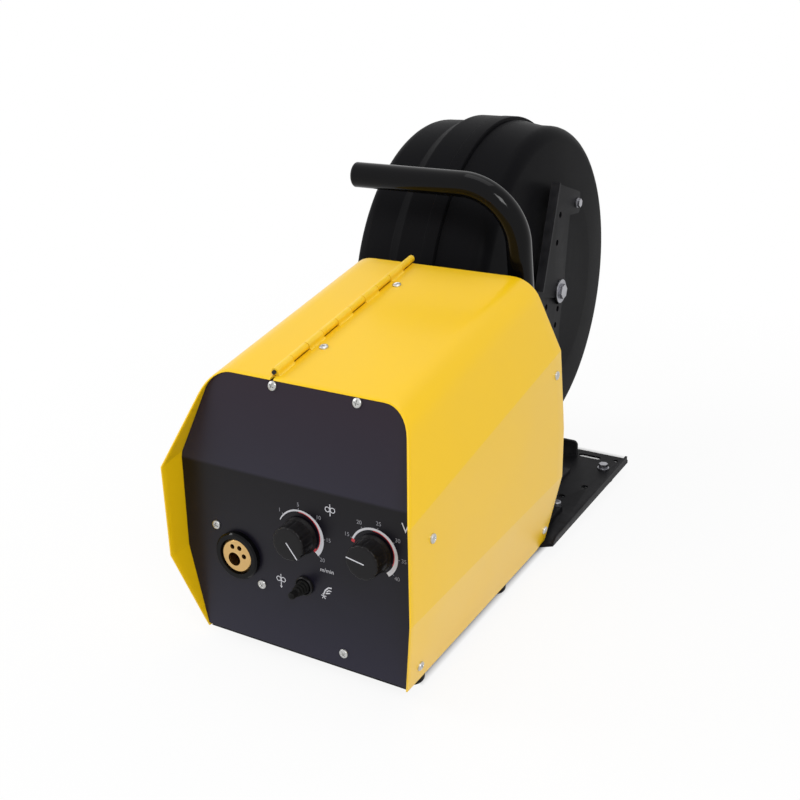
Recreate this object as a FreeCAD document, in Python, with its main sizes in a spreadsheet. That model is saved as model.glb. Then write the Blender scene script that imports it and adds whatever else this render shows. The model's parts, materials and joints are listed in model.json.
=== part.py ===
import FreeCAD, Part
import math
import os
import Sketcher

os.makedirs("parts", exist_ok=True)
doc = FreeCAD.newDocument("WireFeeder")
sheet = doc.addObject("Spreadsheet::Sheet", "Sizes")
cells = []
pieces = []


class Size:
    """A number together with the expression that gives it from the sheet."""

    def __init__(self, number, text):
        self.number = number
        self.text = text

    def __add__(self, other):
        other = sized(other)
        return Size(self.number + other.number, "(%s + %s)" % (self.text, other.text))

    def __sub__(self, other):
        other = sized(other)
        return Size(self.number - other.number, "(%s - %s)" % (self.text, other.text))

    def __mul__(self, other):
        other = sized(other)
        return Size(self.number * other.number, "(%s * %s)" % (self.text, other.text))

    def __truediv__(self, other):
        other = sized(other)
        return Size(self.number / other.number, "(%s / %s)" % (self.text, other.text))

    def __neg__(self):
        return Size(-self.number, "(0 - %s)" % self.text)

    def __radd__(self, other):
        return sized(other) + self

    def __rsub__(self, other):
        return sized(other) - self

    def __rmul__(self, other):
        return sized(other) * self


def sized(value):
    """A plain number as a Size; a Size is passed on."""
    if isinstance(value, Size):
        return value
    if value < 0:
        return Size(value, "(0 - %.9g)" % -value)
    return Size(value, "%.9g" % value)


def size(alias, number):
    """Puts one driving size on the sheet and returns it."""
    cells.append(alias)
    cell = "A%d" % len(cells)
    sheet.set(cell, "%.9g" % number)
    sheet.setAlias(cell, alias)
    return Size(number, "Sizes." + alias)


def sin_of(angle):
    angle = sized(angle)
    return Size(math.sin(math.radians(angle.number)), "sin(%s)" % angle.text)


def cos_of(angle):
    angle = sized(angle)
    return Size(math.cos(math.radians(angle.number)), "cos(%s)" % angle.text)


def tan_of(angle):
    angle = sized(angle)
    return Size(math.tan(math.radians(angle.number)), "tan(%s)" % angle.text)


def angle_of(rise, run):
    """The slope angle in degrees of a line with this rise and run."""
    ratio = sized(rise) / sized(run)
    return Size(math.degrees(math.atan(ratio.number)), "(atan(%s) / 1 deg)" % ratio.text)


def vector(across, along):
    return FreeCAD.Vector(sized(across).number, sized(along).number, 0)


def bind(target, path, value):
    """Ties a property to the sheet when the value comes from there."""
    if "Sizes." in value.text:
        target.setExpression(path, value.text)


def datum(sketch, kind, value, *where):
    value = sized(value)
    index = sketch.addConstraint(Sketcher.Constraint(kind, *where, value.number))
    bind(sketch, "Constraints[%d]" % index, value)


def pin(sketch, line, end, across, along):
    """Fixes one point of a sketch by its two distances from the origin."""
    datum(sketch, "DistanceX", across, -1, 1, line, end)
    datum(sketch, "DistanceY", along, -1, 1, line, end)


def outline(points, rounds=None):
    """A closed run of lines; rounds gives the radius at a corner's number."""
    rounds = rounds or {}

    def draw(sketch):
        count = len(points)
        corners = [vector(*point) for point in points]
        starts, ends, arcs = {}, {}, {}
        for i in range(count):
            here = corners[i]
            starts[i] = ends[i] = here
            if i not in rounds:
                continue
            radius = sized(rounds[i]).number
            back = corners[i - 1].sub(here).normalize()
            ahead = corners[(i + 1) % count].sub(here).normalize()
            half = back.getAngle(ahead) / 2
            ends[i] = here.add(back * (radius / math.tan(half)))
            starts[i] = here.add(ahead * (radius / math.tan(half)))
            middle = here.add(back.add(ahead).normalize() * (radius / math.sin(half)))
            left_turn = back.cross(ahead).z < 0
            first, last = (ends[i], starts[i]) if left_turn else (starts[i], ends[i])
            arcs[i] = (middle, first, last, left_turn, radius)
        lines = []
        for i in range(count):
            line = Part.LineSegment(starts[i], ends[(i + 1) % count])
            lines.append(sketch.addGeometry(line, False))
        for i in range(count):
            before, after = lines[i - 1], lines[i]
            if i not in arcs:
                sketch.addConstraint(Sketcher.Constraint("Coincident", before, 2, after, 1))
                pin(sketch, after, 1, *points[i])
                continue
            middle, first, last, left_turn, radius = arcs[i]
            angles = [math.atan2(p.y - middle.y, p.x - middle.x) for p in (first, last)]
            round_line = Part.Circle(middle, FreeCAD.Vector(0, 0, 1), radius)
            arc = sketch.addGeometry(Part.ArcOfCircle(round_line, *angles), False)
            one, two = (1, 2) if left_turn else (2, 1)
            sketch.addConstraint(Sketcher.Constraint("Tangent", before, 2, arc, one))
            sketch.addConstraint(Sketcher.Constraint("Tangent", after, 1, arc, two))
            datum(sketch, "Radius", rounds[i], arc)
            mark = sketch.addGeometry(Part.Point(corners[i]), True)
            sketch.addConstraint(Sketcher.Constraint("PointOnObject", mark, 1, before))
            sketch.addConstraint(Sketcher.Constraint("PointOnObject", mark, 1, after))
            pin(sketch, mark, 1, *points[i])

    return draw


def circle(across, along, radius):
    def draw(sketch):
        line = Part.Circle(vector(across, along), FreeCAD.Vector(0, 0, 1), sized(radius).number)
        number = sketch.addGeometry(line, False)
        datum(sketch, "Radius", radius, number)
        pin(sketch, number, 3, across, along)

    return draw


def box_outline(low_across, low_along, high_across, high_along, radius=None):
    corners = [(low_across, low_along), (high_across, low_along),
               (high_across, high_along), (low_across, high_along)]
    return outline(corners, {i: radius for i in range(4)} if radius else None)


# Sketch planes: the origin plane's role, and the way its normal points.
PLANES = {"XY": ("XY_Plane", 1), "XZ": ("XZ_Plane", -1), "YZ": ("YZ_Plane", 1)}
TURNING = {"X": "XZ", "Y": "YZ", "Z": "XZ"}


class Piece:
    """One sub-part as a body, drawn in the case's own frame or in a frame of its own."""

    def __init__(self, name, kept=True):
        self.name = name
        self.body = doc.addObject("PartDesign::Body", name)
        self.body.Label = name
        self.steps = 0
        if kept:
            pieces.append(self.body)

    def sketch(self, plane, level, shapes):
        role, side = PLANES[plane]
        self.steps += 1
        name = "%s_sketch_%d" % (self.name, self.steps)
        made = self.body.newObject("Sketcher::SketchObject", name)
        origin = [f for f in self.body.Origin.OriginFeatures if f.Role == role][0]
        made.AttachmentSupport = [(origin, "")]
        made.MapMode = "FlatFace"
        offset = sized(level) * side
        made.AttachmentOffset = FreeCAD.Placement(
            FreeCAD.Vector(0, 0, offset.number), FreeCAD.Rotation())
        bind(made, "AttachmentOffset.Base.z", offset)
        for shape in shapes:
            shape(made)
        return made

    def feature(self, kind, profile):
        name = "%s_%s_%d" % (self.name, kind.lower(), self.steps)
        made = self.body.newObject("PartDesign::" + kind, name)
        made.Profile = profile
        self.body.Tip = made
        return made

    def straight(self, kind, plane, low, high, shapes, reverse):
        made = self.feature(kind, self.sketch(plane, low, shapes))
        length = sized(high) - low
        made.Length = length.number
        bind(made, "Length", length)
        made.Reversed = reverse
        return made

    def pad(self, plane, low, high, *shapes):
        """Adds the shapes from the low to the high level across the plane."""
        return self.straight("Pad", plane, low, high, shapes, PLANES[plane][1] < 0)

    def cut(self, plane, low, high, *shapes):
        """Cuts the shapes from the low to the high level across the plane."""
        return self.straight("Pocket", plane, low, high, shapes, PLANES[plane][1] > 0)

    def spin(self, kind, plane, level, start, end, corners, rounds=None):
        """Turns a profile about the line from start to end in the plane."""

        def axis(sketch):
            line = Part.LineSegment(vector(*start), vector(*end))
            number = sketch.addGeometry(line, True)
            pin(sketch, number, 1, *start)
            pin(sketch, number, 2, *end)

        profile = self.sketch(plane, level, [axis, outline(corners, rounds)])
        made = self.feature(kind, profile)
        made.ReferenceAxis = (profile, ["Axis0"])
        made.Angle = 360
        return made

    def turn(self, axis, points, rounds=None, centre=(0, 0), cut=False):
        """Turns a profile of (along, radius) points about an axis through the centre."""
        kind = "Groove" if cut else "Revolution"
        if axis == "Z":
            level = centre[1]
            corners = [(sized(centre[0]) + r, a) for a, r in points]
            start, end = (centre[0], points[0][0]), (centre[0], sized(points[0][0]) + 1)
        else:
            level = centre[0]
            corners = [(a, sized(centre[1]) + r) for a, r in points]
            start, end = (points[0][0], centre[1]), (sized(points[0][0]) + 1, centre[1])
        return self.spin(kind, TURNING[axis], level, start, end, corners, rounds)

    def spin_at(self, plane, level, spot, heading, points, rounds=None, cut=False):
        """Turns (along, radius) points about the line from a spot along its heading."""
        ahead, aside = cos_of(heading), sin_of(heading)
        across, up = sized(spot[0]), sized(spot[1])
        corners = [(across + sized(a) * ahead - sized(r) * aside,
                    up + sized(a) * aside + sized(r) * ahead) for a, r in points]
        kind = "Groove" if cut else "Revolution"
        return self.spin(kind, plane, level, spot, (across + ahead, up + aside), corners, rounds)

    def rod(self, plane, level, spot, heading, low, high, radius, cut=False):
        """A round bar, or a bore, along any heading in the plane."""
        points = [(low, 0), (low, radius), (high, radius), (high, 0)]
        return self.spin_at(plane, level, spot, heading, points, cut=cut)

    def repeat_round(self, feature, plane_axis, count):
        """Repeats a feature evenly round an axis of the body's origin."""
        made = self.body.newObject("PartDesign::PolarPattern", feature.Name + "_round")
        made.Originals = [feature]
        axis = [f for f in self.body.Origin.OriginFeatures if f.Role == plane_axis][0]
        made.Axis = (axis, [""])
        made.Angle = 360
        made.Occurrences = int(sized(count).number)
        bind(made, "Occurrences", sized(count))
        self.body.Tip = made
        return made

    def place(self, across=0, along=0, up=0, axis=None, angle=0):
        put(self.body, across, along, up, axis, angle)
        return self


def put(target, across=0, along=0, up=0, axis=None, angle=0):
    """Places a piece drawn in the case's frame, or at a point of that frame."""
    base = [sized(across) - side_shift, sized(along) - half_length, sized(up) + foot_height]
    angle = sized(angle)
    turned = FreeCAD.Rotation(axis or FreeCAD.Vector(1, 0, 0), angle.number)
    where = FreeCAD.Vector(*[value.number for value in base])
    target.Placement = FreeCAD.Placement(where, turned)
    for letter, value in zip("xyz", base):
        bind(target, "Placement.Base." + letter, value)
    if axis is not None:
        bind(target, "Placement.Rotation.Angle", angle)


def loose_sketch(name, plane, shapes):
    """A sketch outside the bodies, on a plane through the case's origin."""
    made = doc.addObject("Sketcher::SketchObject", name)
    turned = {"XZ": FreeCAD.Rotation(FreeCAD.Vector(1, 0, 0), 90),
              "YZ": FreeCAD.Rotation(FreeCAD.Vector(1, 1, 1), 120)}[plane]
    made.Placement = FreeCAD.Placement(FreeCAD.Vector(0, 0, 0), turned)
    for shape in shapes:
        shape(made)
    return made


def prism(name, plane, shape, ahead, back, rise=None):
    """A straight form from a drawn outline, both ways from its plane."""
    made = doc.addObject("Part::Extrusion", name)
    made.Base = loose_sketch(name + "_outline", plane, [shape])
    made.DirMode = "Custom"
    made.Dir = FreeCAD.Vector(1, 0, 0) if plane == "YZ" else FreeCAD.Vector(0, 1, 0)
    if rise is not None:
        made.Dir = FreeCAD.Vector(0, 1, rise.number)
        bind(made, "Dir.z", rise)
    made.Solid = True
    for path, value in (("LengthFwd", sized(ahead)), ("LengthRev", sized(back))):
        setattr(made, path, value.number)
        bind(made, path, value)
    return made


def common(name, *shapes):
    made = doc.addObject("Part::MultiCommon", name)
    made.Shapes = list(shapes)
    return made


def cut_away(name, base, tool):
    made = doc.addObject("Part::Cut", name)
    made.Base = base
    made.Tool = tool
    return made


def keep(target, name):
    """Marks a form made of joined or cut forms as a finished piece."""
    target.Label = name
    put(target)
    pieces.append(target)
    return target


# Overall frame. The case's side edges are the foremost line of the feeder.
half_length = size("half_length", 344)
side_shift = size("side_shift", 1.2)
foot_height = size("foot_height", 14)
play = size("play", 0.35)
running = size("running", 0.06)

# Case of folded sheet.
sheet_gauge = size("sheet_gauge", 1.5)
case_half = size("case_half", 126)
case_foot_half = size("case_foot_half", 108)
low_bend = size("low_bend", 82.7)
side_bend = size("side_bend", 171.5)
front_back_step = size("front_back_step", 22.6)
brow_depth = size("brow_depth", 49)
brow_top = size("brow_top", 254.5)
roof_slope = size("roof_slope", 10)
upper_lean = size("upper_lean", 19.9)
roof_corner = size("roof_corner", 30)
case_rear = size("case_rear", 319.5)
rear_bend_up = size("rear_bend_up", 138)
rear_panel_set = size("rear_panel_set", 4.5)
rear_corner = size("rear_corner", 8)
lip_width = size("lip_width", 10)
form_reach = size("form_reach", 450)
roof_rise = tan_of(roof_slope)
brow_front = brow_top - brow_depth * roof_rise
low_lean = angle_of(case_half - case_foot_half, low_bend)

# Door and its hinge.
hinge_line = size("hinge_line", -34)
hinge_front = size("hinge_front", 53.5)
hinge_length = size("hinge_length", 243.2)
knuckle_radius = size("knuckle_radius", 3.5)
hinge_pin_radius = size("hinge_pin_radius", 1.8)
hinge_leaf = size("hinge_leaf", 1.2)
leaf_tab_gap = size("leaf_tab_gap", 0.3)
barrel_lift = size("barrel_lift", 0.1)
leaf_length = size("leaf_length", 229)
hinge_leaf_width = size("hinge_leaf_width", 17)
hinge_knuckles = 10
door_edge_gap = size("door_edge_gap", 1.8)
door_lift = size("door_lift", 1)
latch_up = size("latch_up", 44)
latch_along = size("latch_along", 170)
latch_shaft = size("latch_shaft", 3)

# Front panel.
panel_gauge = size("panel_gauge", 2)
panel_foot = size("panel_foot", 22.65)
panel_bottom = size("panel_bottom", 4)
panel_bend_along = size("panel_bend_along", 26.7)
panel_bend_up = size("panel_bend_up", 171)
panel_head_along = size("panel_head_along", 49)
panel_head_up = size("panel_head_up", 254.5)
panel_lean = angle_of(panel_bend_along - panel_foot, panel_bend_up - panel_bottom)
head_lean = angle_of(panel_head_along - panel_bend_along, panel_head_up - panel_bend_up)
screw_head_radius = size("screw_head_radius", 4.3)
screw_head_rise = size("screw_head_rise", 2.4)
screw_shank_radius = size("screw_shank_radius", 2)
head_screw_left = size("head_screw_left", -32.5)
head_screw_right = size("head_screw_right", 52.5)
head_screw_up = size("head_screw_up", 248.5)
low_screw_across = size("low_screw_across", 44.5)
low_screw_up = size("low_screw_up", 18.8)

# Welding-gun socket.
socket_across = size("socket_across", -65)
socket_up = size("socket_up", 88)
collar_radius = size("collar_radius", 22.8)
collar_inner = size("collar_inner", 17.2)
collar_rise = size("collar_rise", 6)
insert_radius = size("insert_radius", 16.8)
insert_rise = size("insert_rise", 5.2)
insert_depth = size("insert_depth", 58)
gun_bore = size("gun_bore", 6.6)
gun_bore_across = size("gun_bore_across", -2.4)
gun_bore_up = size("gun_bore_up", -3.4)
gun_bore_depth = size("gun_bore_depth", 40)
contact_bore = size("contact_bore", 2.4)
contact_depth = size("contact_depth", 12)
contact_across = size("contact_across", 3.9)
contact_up = size("contact_up", 8.9)
contact_side = size("contact_side", 8.6)
contact_side_up = size("contact_side_up", 1.8)
socket_screw_step = size("socket_screw_step", 24)

# Knobs and the trigger switch.
speed_across = size("speed_across", 3.5)
speed_up = size("speed_up", 124.6)
voltage_across = size("voltage_across", 77.3)
voltage_up = size("voltage_up", 126.4)
knob_radius = size("knob_radius", 17.5)
knob_top_radius = size("knob_top_radius", 15.6)
knob_height = size("knob_height", 20)
knob_flare = size("knob_flare", 5)
knob_gap = size("knob_gap", 0.8)
knob_flutes = size("knob_flutes", 12)
flute_radius = size("flute_radius", 1.3)
pot_radius = size("pot_radius", 12)
pot_depth = size("pot_depth", 14)
pot_shaft = size("pot_shaft", 3)
switch_across = size("switch_across", 6)
switch_up = size("switch_up", 76)
ring_radius = size("ring_radius", 9)
ring_bore = size("ring_bore", 7.6)
ring_rise = size("ring_rise", 3.6)
boot_radius = size("boot_radius", 6.6)
boot_neck = size("boot_neck", 4.2)
boot_rise = size("boot_rise", 15)
lever_radius = size("lever_radius", 3.4)
lever_rise = size("lever_rise", 24)
switch_half = size("switch_half", 8)
rock_pin = size("rock_pin", 1.2)
rock_pin_half = size("rock_pin_half", 5.8)
pivot_stem = size("pivot_stem", 2.2)
switch_depth = size("switch_depth", 24)

# Tray, feet and bolts.
tray_gauge = size("tray_gauge", 2.5)
tray_front = size("tray_front", 30)
tray_front_lip = size("tray_front_lip", 25.4)
tray_wide_half = size("tray_wide_half", 120)
tray_step = size("tray_step", 304)
tray_rear = size("tray_rear", 554)
tray_side_rise = size("tray_side_rise", 9.8)
tray_lip_rise = size("tray_lip_rise", 32)
foot_radius = size("foot_radius", 12.5)
foot_across = size("foot_across", 92)
foot_front = size("foot_front", 58)
foot_middle = size("foot_middle", 228)
foot_rear = size("foot_rear", 515)
foot_rear_across = size("foot_rear_across", 101)
foot_round = size("foot_round", 4)
bolt_head_radius = size("bolt_head_radius", 5.5)
bolt_head_rise = size("bolt_head_rise", 5)
washer_radius = size("washer_radius", 7)
washer_gauge = size("washer_gauge", 1.5)
lug_across = size("lug_across", 46)
lug_half = size("lug_half", 12)
lug_rise = size("lug_rise", 20)
lug_along = size("lug_along", 537)
lug_gauge = size("lug_gauge", 4)
lug_round = size("lug_round", 6)

# Bulkhead and the wire drive.
wall_left = size("wall_left", -35.5)
wall_gauge = size("wall_gauge", 2)
drive_middle = size("drive_middle", 160)
roll_step = size("roll_step", 28)
roll_low = size("roll_low", 73)
roll_gap_share = size("roll_gap_share", 0.3)
gear_module = size("gear_module", 1.25)
roll_teeth = size("roll_teeth", 24)
drive_teeth = size("drive_teeth", 28)
drive_drop = size("drive_drop", 16.5)
tooth_tip = size("tooth_tip", 0.28)
tooth_waist = size("tooth_waist", 0.715)
tooth_foot = size("tooth_foot", 0.83)
gear_face = size("gear_face", 7)
gear_left = size("gear_left", -58)
roll_left = size("roll_left", -70)
roll_width = size("roll_width", 10)
groove_depth = size("groove_depth", 0.7)
groove_half = size("groove_half", 0.8)
groove_offset = size("groove_offset", 2.5)
cap_radius = size("cap_radius", 9)
cap_rise = size("cap_rise", 3.5)
roll_shaft = size("roll_shaft", 4)
drive_shaft = size("drive_shaft", 5)
plate_left = size("plate_left", -50)
plate_gauge = size("plate_gauge", 8)
plate_front = size("plate_front", 95)
plate_rear = size("plate_rear", 225)
plate_low = size("plate_low", 32)
plate_high = size("plate_high", 112)
plate_corner = size("plate_corner", 8)
insulator_edge = size("insulator_edge", 5)
arm_pivot_step = size("arm_pivot_step", 54)
arm_pivot_up = size("arm_pivot_up", 94)
arm_pivot_radius = size("arm_pivot_radius", 3)
arm_left = size("arm_left", -81)
arm_gauge = size("arm_gauge", 6)
arm_boss = size("arm_boss", 7)
arm_tip_step = size("arm_tip_step", 3.6)
arm_lug_depth = size("arm_lug_depth", 7)
arm_lug_low = size("arm_lug_low", 108)
arm_lug_right = size("arm_lug_right", -54)
pivot_across = size("pivot_across", -74)
pivot_up = size("pivot_up", 96)
pivot_pin = size("pivot_pin", 3)
seat_across = size("seat_across", 12)
seat_up = size("seat_up", 22.2)
seat_gap = size("seat_gap", 0.8)
lever_lean = angle_of(seat_across, seat_up)
lever_rod = size("lever_rod", 3)
lever_eye = size("lever_eye", 6)
lever_length = size("lever_length", 52)
lever_washer = size("lever_washer", 8)
barrel_radius = size("barrel_radius", 6.5)
barrel_top = size("barrel_top", 39)
grip_radius = size("grip_radius", 11)
grip_top = size("grip_top", 58)
grip_ribs = size("grip_ribs", 12)
cheek_gauge = size("cheek_gauge", 4)
cheek_gap = size("cheek_gap", 4)
guide_radius = size("guide_radius", 2.5)
guide_bore = size("guide_bore", 1.2)
guide_block = size("guide_block", 4)
motor_radius = size("motor_radius", 29)
motor_length = size("motor_length", 82)
gearbox_half = size("gearbox_half", 27)
gearbox_depth = size("gearbox_depth", 33)

# Spool, its cover and the stand that carries them.
spool_along = size("spool_along", 490)
spool_up = size("spool_up", 225)
cover_radius = size("cover_radius", 181.8)
cover_wall = size("cover_wall", 3)
cover_right = size("cover_right", 35)
cover_left = size("cover_left", -122)
cover_round = size("cover_round", 16)
cover_dish = size("cover_dish", 2)
cover_seam = size("cover_seam", -21)
cover_lip = size("cover_lip", 190)
cover_lip_width = size("cover_lip_width", 15)
cover_ledge = size("cover_ledge", 189.5)
cover_ledge_width = size("cover_ledge_width", 28)
cover_ramp = size("cover_ramp", 12)
cover_ramp_foot = size("cover_ramp_foot", 183)
cover_face = size("cover_face", 60)
cover_band = size("cover_band", 186.2)
cover_band_width = size("cover_band_width", 26)
cover_gap = size("cover_gap", 2)
cover_hinge = size("cover_hinge", 684.6)
cover_knuckle = size("cover_knuckle", 3.4)
cover_pin = size("cover_pin", 1.6)
cover_lug = size("cover_lug", 12)
clip_across = size("clip_across", -30)
clip_up = size("clip_up", 31.5)
stand_across = size("stand_across", 41.5)
stand_gauge = size("stand_gauge", 3)
stand_flange = size("stand_flange", 10)
stand_flange_up = size("stand_flange_up", 200)
stand_foot_width = size("stand_foot_width", 24)
upright_front = size("upright_front", 414)
upright_rear = size("upright_rear", 490)
upright_top = size("upright_top", 236)
upright_top_front = size("upright_top_front", 428)
upright_top_rear = size("upright_top_rear", 508)
upright_ear_rear = size("upright_ear_rear", 512)
upright_ear_drop = size("upright_ear_drop", 16)
upright_ear_up = upright_top - upright_ear_drop
upright_waist_rear = size("upright_waist_rear", 504)
upright_waist_drop = size("upright_waist_drop", 17)
upright_waist_up = upright_ear_up - upright_waist_drop
upright_bend_rear = size("upright_bend_rear", 499)
upright_bend_drop = size("upright_bend_drop", 24)
upright_bend_up = upright_waist_up - upright_bend_drop
stand_hole = size("stand_hole", 3.5)
arm_front_foot = size("arm_front_foot", 424)
arm_front_foot_up = size("arm_front_foot_up", 242)
arm_front_tip = size("arm_front_tip", 463)
arm_front_tip_up = size("arm_front_tip_up", 354)
arm_waist_front = size("arm_waist_front", 503)
arm_waist_up = size("arm_waist_up", 244)
arm_neck_along = size("arm_neck_along", 512)
arm_neck_up = size("arm_neck_up", 308)
ear_rear = size("ear_rear", 542)
ear_low = size("ear_low", 305)
ear_high = size("ear_high", 329)
ear_bolt_along = size("ear_bolt_along", 533)
ear_bolt_up = size("ear_bolt_up", 318)
arm_edge_rise = size("arm_edge_rise", 7)
axle_radius = size("axle_radius", 6)
axle_washer = size("axle_washer", 13.5)
hub_radius = size("hub_radius", 25)
hub_flange = size("hub_flange", 32)
hub_right = size("hub_right", -2)
hub_left = size("hub_left", -88)
hub_left_cap = size("hub_left_cap", -102)

# Carrying handle.
tube_radius = size("tube_radius", 12.7)
tube_wall = size("tube_wall", 2)
handle_along = size("handle_along", 305)
handle_up = size("handle_up", 378)
handle_left = size("handle_left", -102)
handle_post = size("handle_post", 73.6)
handle_bend = size("handle_bend", 57)
handle_lean = size("handle_lean", 10)
handle_foot_up = size("handle_foot_up", 9.6)
handle_foot_half = size("handle_foot_half", 26)
handle_foot_gauge = size("handle_foot_gauge", 6)
foot_bolt_step = size("foot_bolt_step", 19)
sleeve_wall = size("sleeve_wall", 4)
sleeve_length = size("sleeve_length", 24)


# Screws, holes and fittings.
leaf_screw_across = size("leaf_screw_across", -21)
knuckle_gap = size("knuckle_gap", 0.5)
past_head = size("past_head", 6)
gas_inset = size("gas_inset", 26)
gas_across = case_half - gas_inset
gas_up = size("gas_up", 60)
plug_up = size("plug_up", 110)
stud_across = size("stud_across", 45)
stud_up = size("stud_up", 60)
wire_hole = size("wire_hole", 9)
gas_hole = size("gas_hole", 6)
plug_hole = size("plug_hole", 12)
stud_hole = size("stud_hole", 8)
fitting_flange = size("fitting_flange", 4)
gas_nut = size("gas_nut", 15)
gas_nipple = size("gas_nipple", 5)
gas_nipple_length = size("gas_nipple_length", 18)
plug_rim = size("plug_rim", 13)
plug_mouth = size("plug_mouth", 10.5)
plug_rise = size("plug_rise", 12)
stud_bolt = size("stud_bolt", 6)
stud_tail = size("stud_tail", 19)
inlet_tail = size("inlet_tail", 8)
inlet_neck = size("inlet_neck", 8)
inlet_tip = size("inlet_tip", 6)
inlet_mouth = size("inlet_mouth", 3)
inlet_rise = size("inlet_rise", 14)
tray_hole = size("tray_hole", 4)
tray_slot_half = size("tray_slot_half", 4)
tray_corner_hole = size("tray_corner_hole", 3)
tray_lip_half = size("tray_lip_half", 96)
wide_hole_across = size("wide_hole_across", 99)
wide_hole_along = size("wide_hole_along", 458)
near_hole_across = size("near_hole_across", 84.5)
near_hole_along = size("near_hole_along", 424)
corner_hole_across = size("corner_hole_across", 107)
corner_hole_along = size("corner_hole_along", 542)
slot_left = size("slot_left", 60)
slot_right = size("slot_right", 88)
slot_inset = size("slot_inset", 14)
fold = size("fold", 16)
fold_length = size("fold_length", 205)
nip_gap = size("nip_gap", 10.5)
valve_across = size("valve_across", 84)
valve_along = size("valve_along", 262)
board_along = size("board_along", 62)
side_screw_front = size("side_screw_front", 38)
side_screw_front_up = size("side_screw_front_up", 147)
side_screw_rear = size("side_screw_rear", 293)
side_screw_rear_up = size("side_screw_rear_up", 202)
low_screw_front = size("low_screw_front", 39)
low_screw_front_up = size("low_screw_front_up", 18.2)
low_screw_rear = size("low_screw_rear", 306)
low_screw_rear_up = size("low_screw_rear_up", 22)
leaf_screw_front = size("leaf_screw_front", 110)
leaf_screw_rear = size("leaf_screw_rear", 240)
axle_head = size("axle_head", 8.7)
axle_head_rise = size("axle_head_rise", 3.5)
axle_washer_gauge = size("axle_washer_gauge", 2)
axle_nut = size("axle_nut", 10)
axle_nut_depth = size("axle_nut_depth", 5)
hub_recess = size("hub_recess", 12)
hub_recess_depth = size("hub_recess_depth", 10)
hub_spigot_depth = size("hub_spigot_depth", 3.5)
ear_bolt_head = size("ear_bolt_head", 5)
clamp_low = size("clamp_low", 196)
clamp_high = size("clamp_high", 216)

doc.recompute()


def panel_at(up):
    """How far back the front panel's face is at a height."""
    return panel_foot + (sized(up) - panel_bottom) * tan_of(panel_lean)


def case_lower(inset, low):
    """The case's cross section below the roof, drawn in by an inset."""
    half = case_half - inset
    foot = case_foot_half - sized(inset) / cos_of(low_lean) + sized(low) * tan_of(low_lean)
    bend = low_bend + sized(inset) * tan_of(low_lean / 2)
    return outline([(-foot, low), (foot, low), (half, bend), (half, form_reach),
                    (-half, form_reach), (-half, bend)])


def case_roof(inset):
    """The roof's section where its plane meets the case's foremost line."""
    half = case_half - inset
    bend = side_bend - sized(inset) * tan_of(upper_lean / 2)
    corner = (case_half - (brow_front - side_bend) * tan_of(upper_lean)
              - sized(inset) * tan_of((90 - upper_lean) / 2))
    top = brow_front - inset
    bottom = -form_reach
    rounding = roof_corner - inset
    return outline([(-half, bottom), (half, bottom), (half, bend), (corner, top),
                    (-corner, top), (-half, bend)], {3: rounding, 4: rounding})


def case_form(name, inset, low=-20):
    """The space inside the case's skin, drawn in by an inset and open at its ends."""
    lower = prism(name + "_lower", "XZ", case_lower(inset, low), form_reach, form_reach)
    roof = prism(name + "_roof", "XZ", case_roof(inset), form_reach, form_reach, roof_rise)
    return common(name, lower, roof)


def block(name, across, along, up):
    """A plain box between pairs of levels, for trimming other forms."""
    made = doc.addObject("Part::Box", name)
    sides = [[sized(value) for value in pair] for pair in (across, along, up)]
    for path, (low, high) in zip(("Length", "Width", "Height"), sides):
        setattr(made, path, (high - low).number)
        bind(made, path, high - low)
    made.Placement.Base = FreeCAD.Vector(*[low.number for low, high in sides])
    for letter, (low, high) in zip("xyz", sides):
        bind(made, "Placement.Base." + letter, low)
    return made


def screw(piece, plane, level, spot, heading, length):
    """A pan-head screw whose head sits on the surface at the spot."""
    head, shank = screw_head_radius, screw_shank_radius
    piece.spin_at(plane, level, spot, heading, [
        (-sized(length), 0), (-sized(length), shank), (0, shank), (0, head),
        (screw_head_rise * 0.4, head), (screw_head_rise, head * 0.6), (screw_head_rise, 0)])


def screw_hole(piece, plane, level, spot, heading, depth):
    radius = screw_shank_radius + play
    piece.rod(plane, level, spot, heading, -sized(depth), depth, radius)


# Sheet case: one skin, parted along the hinge into the fixed hood and the drive door.
brow_reach = form_reach * brow_depth / (brow_top - side_bend)
rear_reach = (form_reach - rear_bend_up) * roof_rise
side_view = outline([(front_back_step, 0), (case_rear, 0), (case_rear, rear_bend_up),
                     (case_rear - rear_reach, form_reach),
                     (brow_reach - side_bend * brow_depth / (brow_top - side_bend), form_reach),
                     (0, side_bend), (0, low_bend)], {1: rear_corner})
case_side = prism("case_side", "YZ", side_view, case_half + 5, case_half + 5)
case_outer = common("case_outer", case_form("case_outside", 0, 0), case_side)
case_skin = cut_away("case_skin", case_outer, case_form("case_inside", sheet_gauge))
rear_inside = case_rear - sheet_gauge
rear_slab = prism("rear_slab", "YZ", outline([
    (rear_inside, 0), (case_rear, 0), (case_rear, rear_bend_up),
    (case_rear - rear_reach, form_reach), (rear_inside - rear_reach, form_reach),
    (rear_inside, rear_bend_up)]), case_half, case_half)
rear_ring = cut_away("rear_ring", common("rear_full", case_outer, rear_slab),
                     case_form("rear_window", lip_width))
case_folded = doc.addObject("Part::MultiFuse", "case_folded")
case_folded.Shapes = [case_skin, rear_ring]
tray_room = block("tray_room", (-case_half - 1, case_half + 1), (tray_step - 1, case_rear + 1),
                  (-1, tray_gauge + play))
case_whole = cut_away("case_whole", case_folded, tray_room)
hood_half = block("hood_half", (hinge_line + door_edge_gap, case_half + 1), (-1, form_reach),
                  (0, form_reach))
door_half = block("door_half", (-case_half - 1, hinge_line - door_edge_gap), (-1, form_reach),
                  (door_lift, form_reach))

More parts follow.
